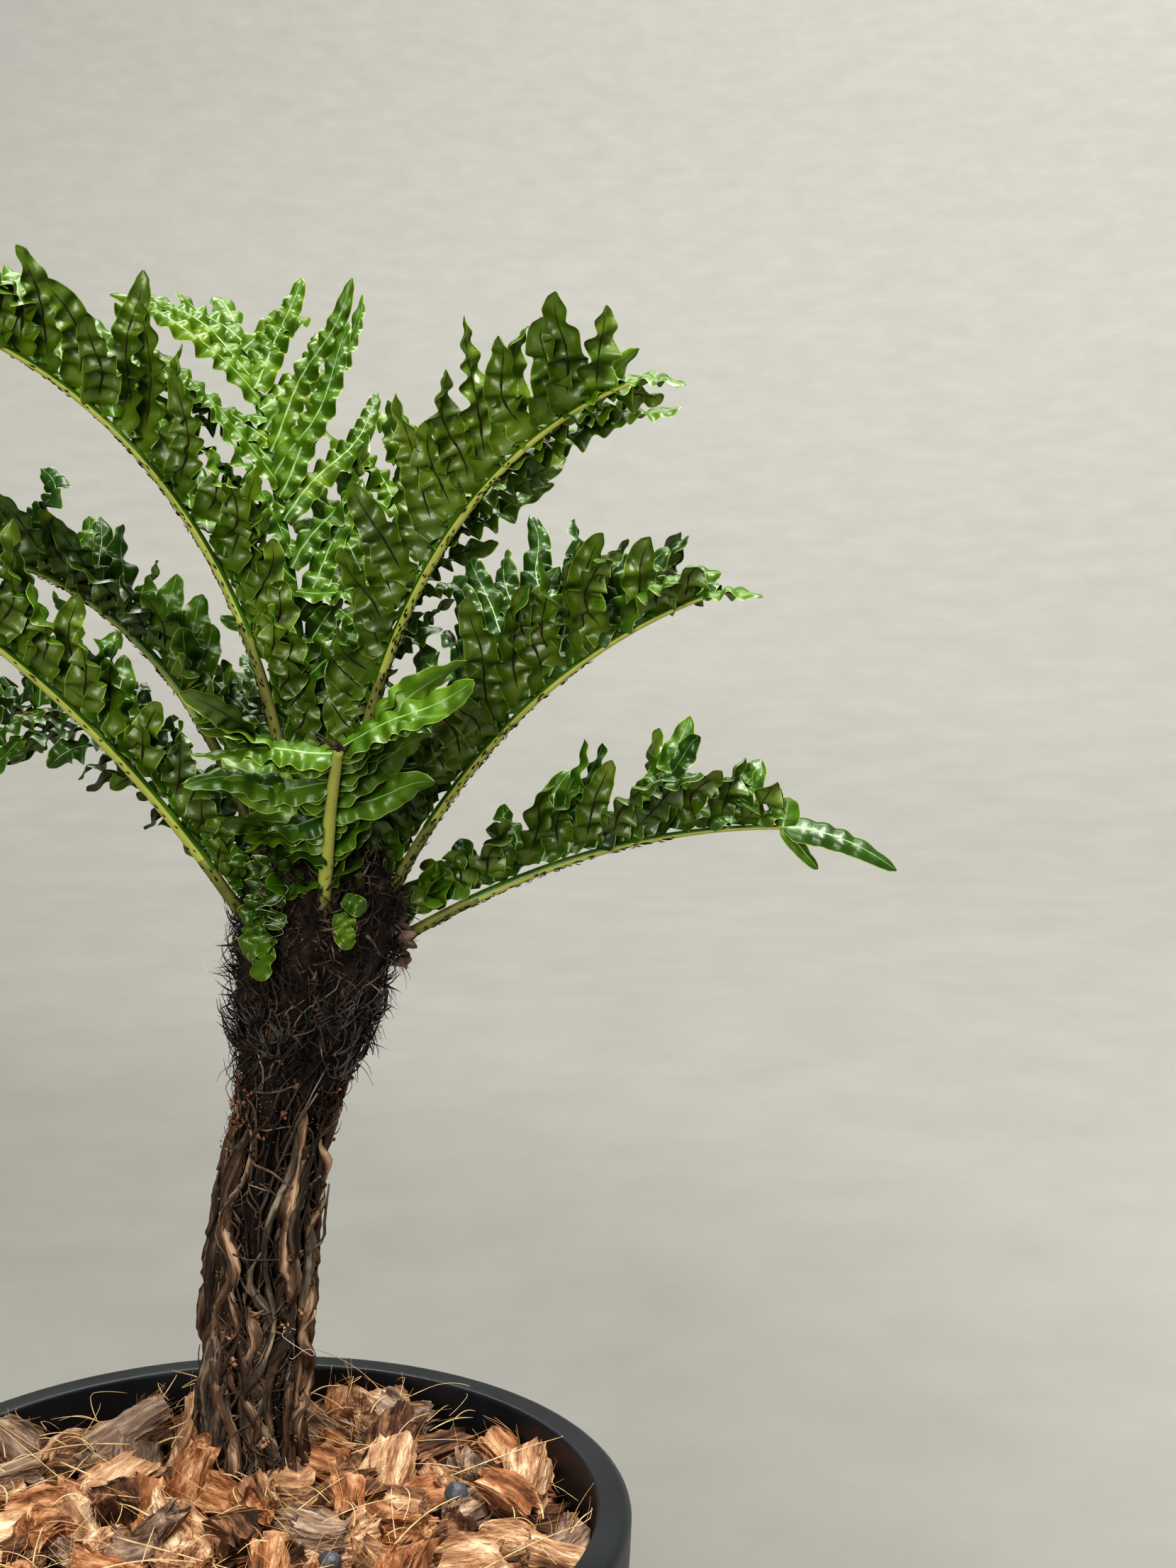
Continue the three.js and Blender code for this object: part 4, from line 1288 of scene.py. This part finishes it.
def node_material(
    name, colours, rough, scale, bump=0.3, bump_scale=None, specular=0.5,
    grain=False, deep=0.0004, band=0.21,
):
    """A procedural material: noise deals out colours, varies the roughness and raises a fine relief."""
    material = bpy.data.materials.new(name)
    material.use_nodes = True
    tree = material.node_tree
    place = grain_place(tree) if grain else object_place(tree)
    coarse = {"Vector": place, "Scale": scale, "Detail": 6.0, "Roughness": 0.62}
    noise = add_node(tree, "TexNoise", coarse).outputs["Fac"]
    low = NOISE_MIDDLE - band
    stops = [(low + 2 * band * k / (len(colours) - 1), colour) for k, colour in enumerate(colours)]
    spread = {"Value": noise, "To Min": rough - ROUGH_SPREAD, "To Max": rough + ROUGH_SPREAD}
    fine = {"Vector": place, "Scale": bump_scale or 6 * scale, "Detail": 4}
    height = add_node(tree, "TexNoise", fine).outputs["Fac"]
    relief = {"Strength": bump, "Distance": deep, "Height": height}
    looks = {
        "Specular IOR Level": specular,
        "Base Color": colour_ramp(tree, noise, stops),
        "Roughness": add_node(tree, "MapRange", spread).outputs["Result"],
        "Normal": add_node(tree, "Bump", relief).outputs["Normal"],
    }
    set_inputs(tree, tree.nodes["Principled BSDF"], looks)
    return material


# Camera, light and stage


def studio():
    """The camera at the photograph's angle, a dim sky and soft lamps."""
    scene = bpy.context.scene
    camera = bpy.data.cameras.new("camera")
    camera.sensor_fit = "VERTICAL"
    camera.sensor_height = SENSOR_HEIGHT
    camera.lens = SENSOR_HEIGHT * FOCAL_PIXELS / PHOTO_HEIGHT
    eye = bpy.data.objects.new("camera", camera)
    eye.location = CAMERA_PLACE
    eye.rotation_euler = (math.radians(90 - CAMERA_DOWN), 0, 0)
    scene.collection.objects.link(eye)
    scene.camera = eye
    world = bpy.data.worlds.new("studio")
    scene.world = world
    world.use_nodes = True
    background = world.node_tree.nodes["Background"]
    background.inputs["Color"].default_value = SKY_COLOUR
    background.inputs["Strength"].default_value = SKY_STRENGTH
    for row in LAMPS:
        lamp(*row)
    scene.view_settings.view_transform = "Standard"
    scene.view_settings.look = "High Contrast"


def lamp(name, place, target, size, watts, colour):
    """A square lamp that faces its target and isn't seen itself."""
    light = bpy.data.lights.new(name, "AREA")
    light.size = size
    light.energy = watts
    light.color = colour
    piece = bpy.data.objects.new(name, light)
    piece.location = place
    aim = np.array(target) - np.array(place)
    yaw = math.atan2(aim[1], aim[0])
    pitch = math.atan2(aim[2], math.hypot(aim[0], aim[1]))
    piece.rotation_euler = (math.pi / 2 + pitch, 0, yaw - math.pi / 2)
    piece.visible_camera = False
    bpy.context.scene.collection.objects.link(piece)


def shade_floor(material):
    """Darkens the paper towards the near left, as the light falls off there."""
    tree = material.node_tree
    away = add_node(tree, "VectorMath", {0: object_place(tree), 1: SHADE_FROM})
    away.operation = "DISTANCE"
    span = add_node(tree, "MapRange", {"Value": away.outputs["Value"], "From Max": SHADE_SPAN})
    stops = [(distance / SHADE_SPAN, (share,) * 3) for distance, share in SHADE]
    fall = colour_ramp(tree, span.outputs["Result"], stops)
    shaded = add_node(tree, "Mix", {})
    shaded.data_type = "RGBA"
    shaded.blend_type = "MULTIPLY"
    base = tree.nodes["Principled BSDF"].inputs["Base Color"]
    set_inputs(tree, shaded, {"Factor": 1.0, "A": base.links[0].from_socket, "B": fall})
    tree.links.new(shaded.outputs["Result"], base)


def floor_piece():
    """A pale floor that curves up far off, so that it has no edge in view."""
    rows, cols = 40, 96
    r = FLOOR_REACH * np.linspace(0.0, 1.0, rows) ** 1.6 + 1.0
    z = np.where(r > FLOOR_FLAT, FLOOR_RISE * ((r - FLOOR_FLAT) / (FLOOR_REACH - FLOOR_FLAT)) ** 2, 0)
    mesh = bpy.data.meshes.new("floor")
    verts = turned_grid(r, z, cols).reshape(-1, 3) * MM
    mesh.from_pydata(verts.tolist(), [], grid_faces(rows, cols, closed=True).tolist())
    mesh.polygons.foreach_set("use_smooth", np.full(len(mesh.polygons), True))
    pale = node_material("floor_paper", PAPER_COLOURS, 0.85, 14.0, bump=0.05, specular=0.2)
    shade_floor(pale)
    mesh.materials.append(pale)
    piece = bpy.data.objects.new("floor", mesh)
    bpy.context.scene.collection.objects.link(piece)


# Assembly


def dress_fronds():
    """One piece for each kind of leaf surface. The frond solids are hidden once the ribs are built."""
    nodes = [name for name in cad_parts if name.startswith("frond_")]
    for name, kind in leaves.items():
        colours, rough = FROND_LOOKS[name]
        shine = LEAF_SPECULAR["lower" if name.startswith("lower") else "upper"]
        material = node_material(f"leaf_{name}", colours, rough, specular=shine, **LEAF_FINISH)
        piece = kind.build(f"fronds_{name}", material, slot="frond")
        if name == "rib":
            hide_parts(*nodes)


def dress_trunk():
    """One piece for each kind of bark. The trunk's solid is hidden once the core is built."""
    for name, kind in bark.items():
        colours, rough = BARK_LOOKS[name]
        finish = ROOT_FINISH if name.endswith("root") else BARK_FINISH
        material = node_material(f"trunk_{name}", colours, rough, **finish)
        piece = kind.build(f"trunk_{name}", material, slot="trunk")
        if name == "core":
            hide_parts("trunk")


def dress_mulch():
    """One piece for each kind of husk. The bed's solid is hidden once the orange chips are built."""
    for name, kind in husk.items():
        colours, rough = HUSK_LOOKS[name]
        finish = CHIP_FINISH if name in CHIP_KINDS else FIBRE_FINISH
        material = node_material(f"husk_{name}", colours, rough, **finish)
        smooth = name in ("bead", "straw", "fibre")
        piece = kind.build(f"mulch_{name}", material, smooth=smooth, slot="husk_mulch")
        if name == "orange":
            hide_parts("husk_mulch")


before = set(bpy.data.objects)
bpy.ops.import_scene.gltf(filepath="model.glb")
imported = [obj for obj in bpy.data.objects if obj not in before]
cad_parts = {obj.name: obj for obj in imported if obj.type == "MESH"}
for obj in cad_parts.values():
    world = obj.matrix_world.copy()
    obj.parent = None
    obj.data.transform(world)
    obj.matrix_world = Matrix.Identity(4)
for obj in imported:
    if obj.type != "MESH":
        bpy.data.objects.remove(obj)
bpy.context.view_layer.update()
studio()
floor_piece()
grow_fronds()
trunk_core()
trunk_roots()
trunk_rootlets()
trunk_hairs()
crown_mat()
trunk_specks()
trunk_threads()
lay_bed()
lay_chips()
lay_straws()
lay_beads()
grow_lobes()
dress_trunk()
dress_mulch()
dress_fronds()
plastic = node_material("pot_plastic", PLASTIC_COLOURS, 0.4, 45.0, bump=0.12, bump_scale=2600.0)
pot_piece(plastic)
soil = node_material("soil_mix", SOIL_COLOURS, 0.95, 220.0, bump=0.9)
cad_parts["potting_soil"].data.materials.clear()
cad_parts["potting_soil"].data.materials.append(soil)
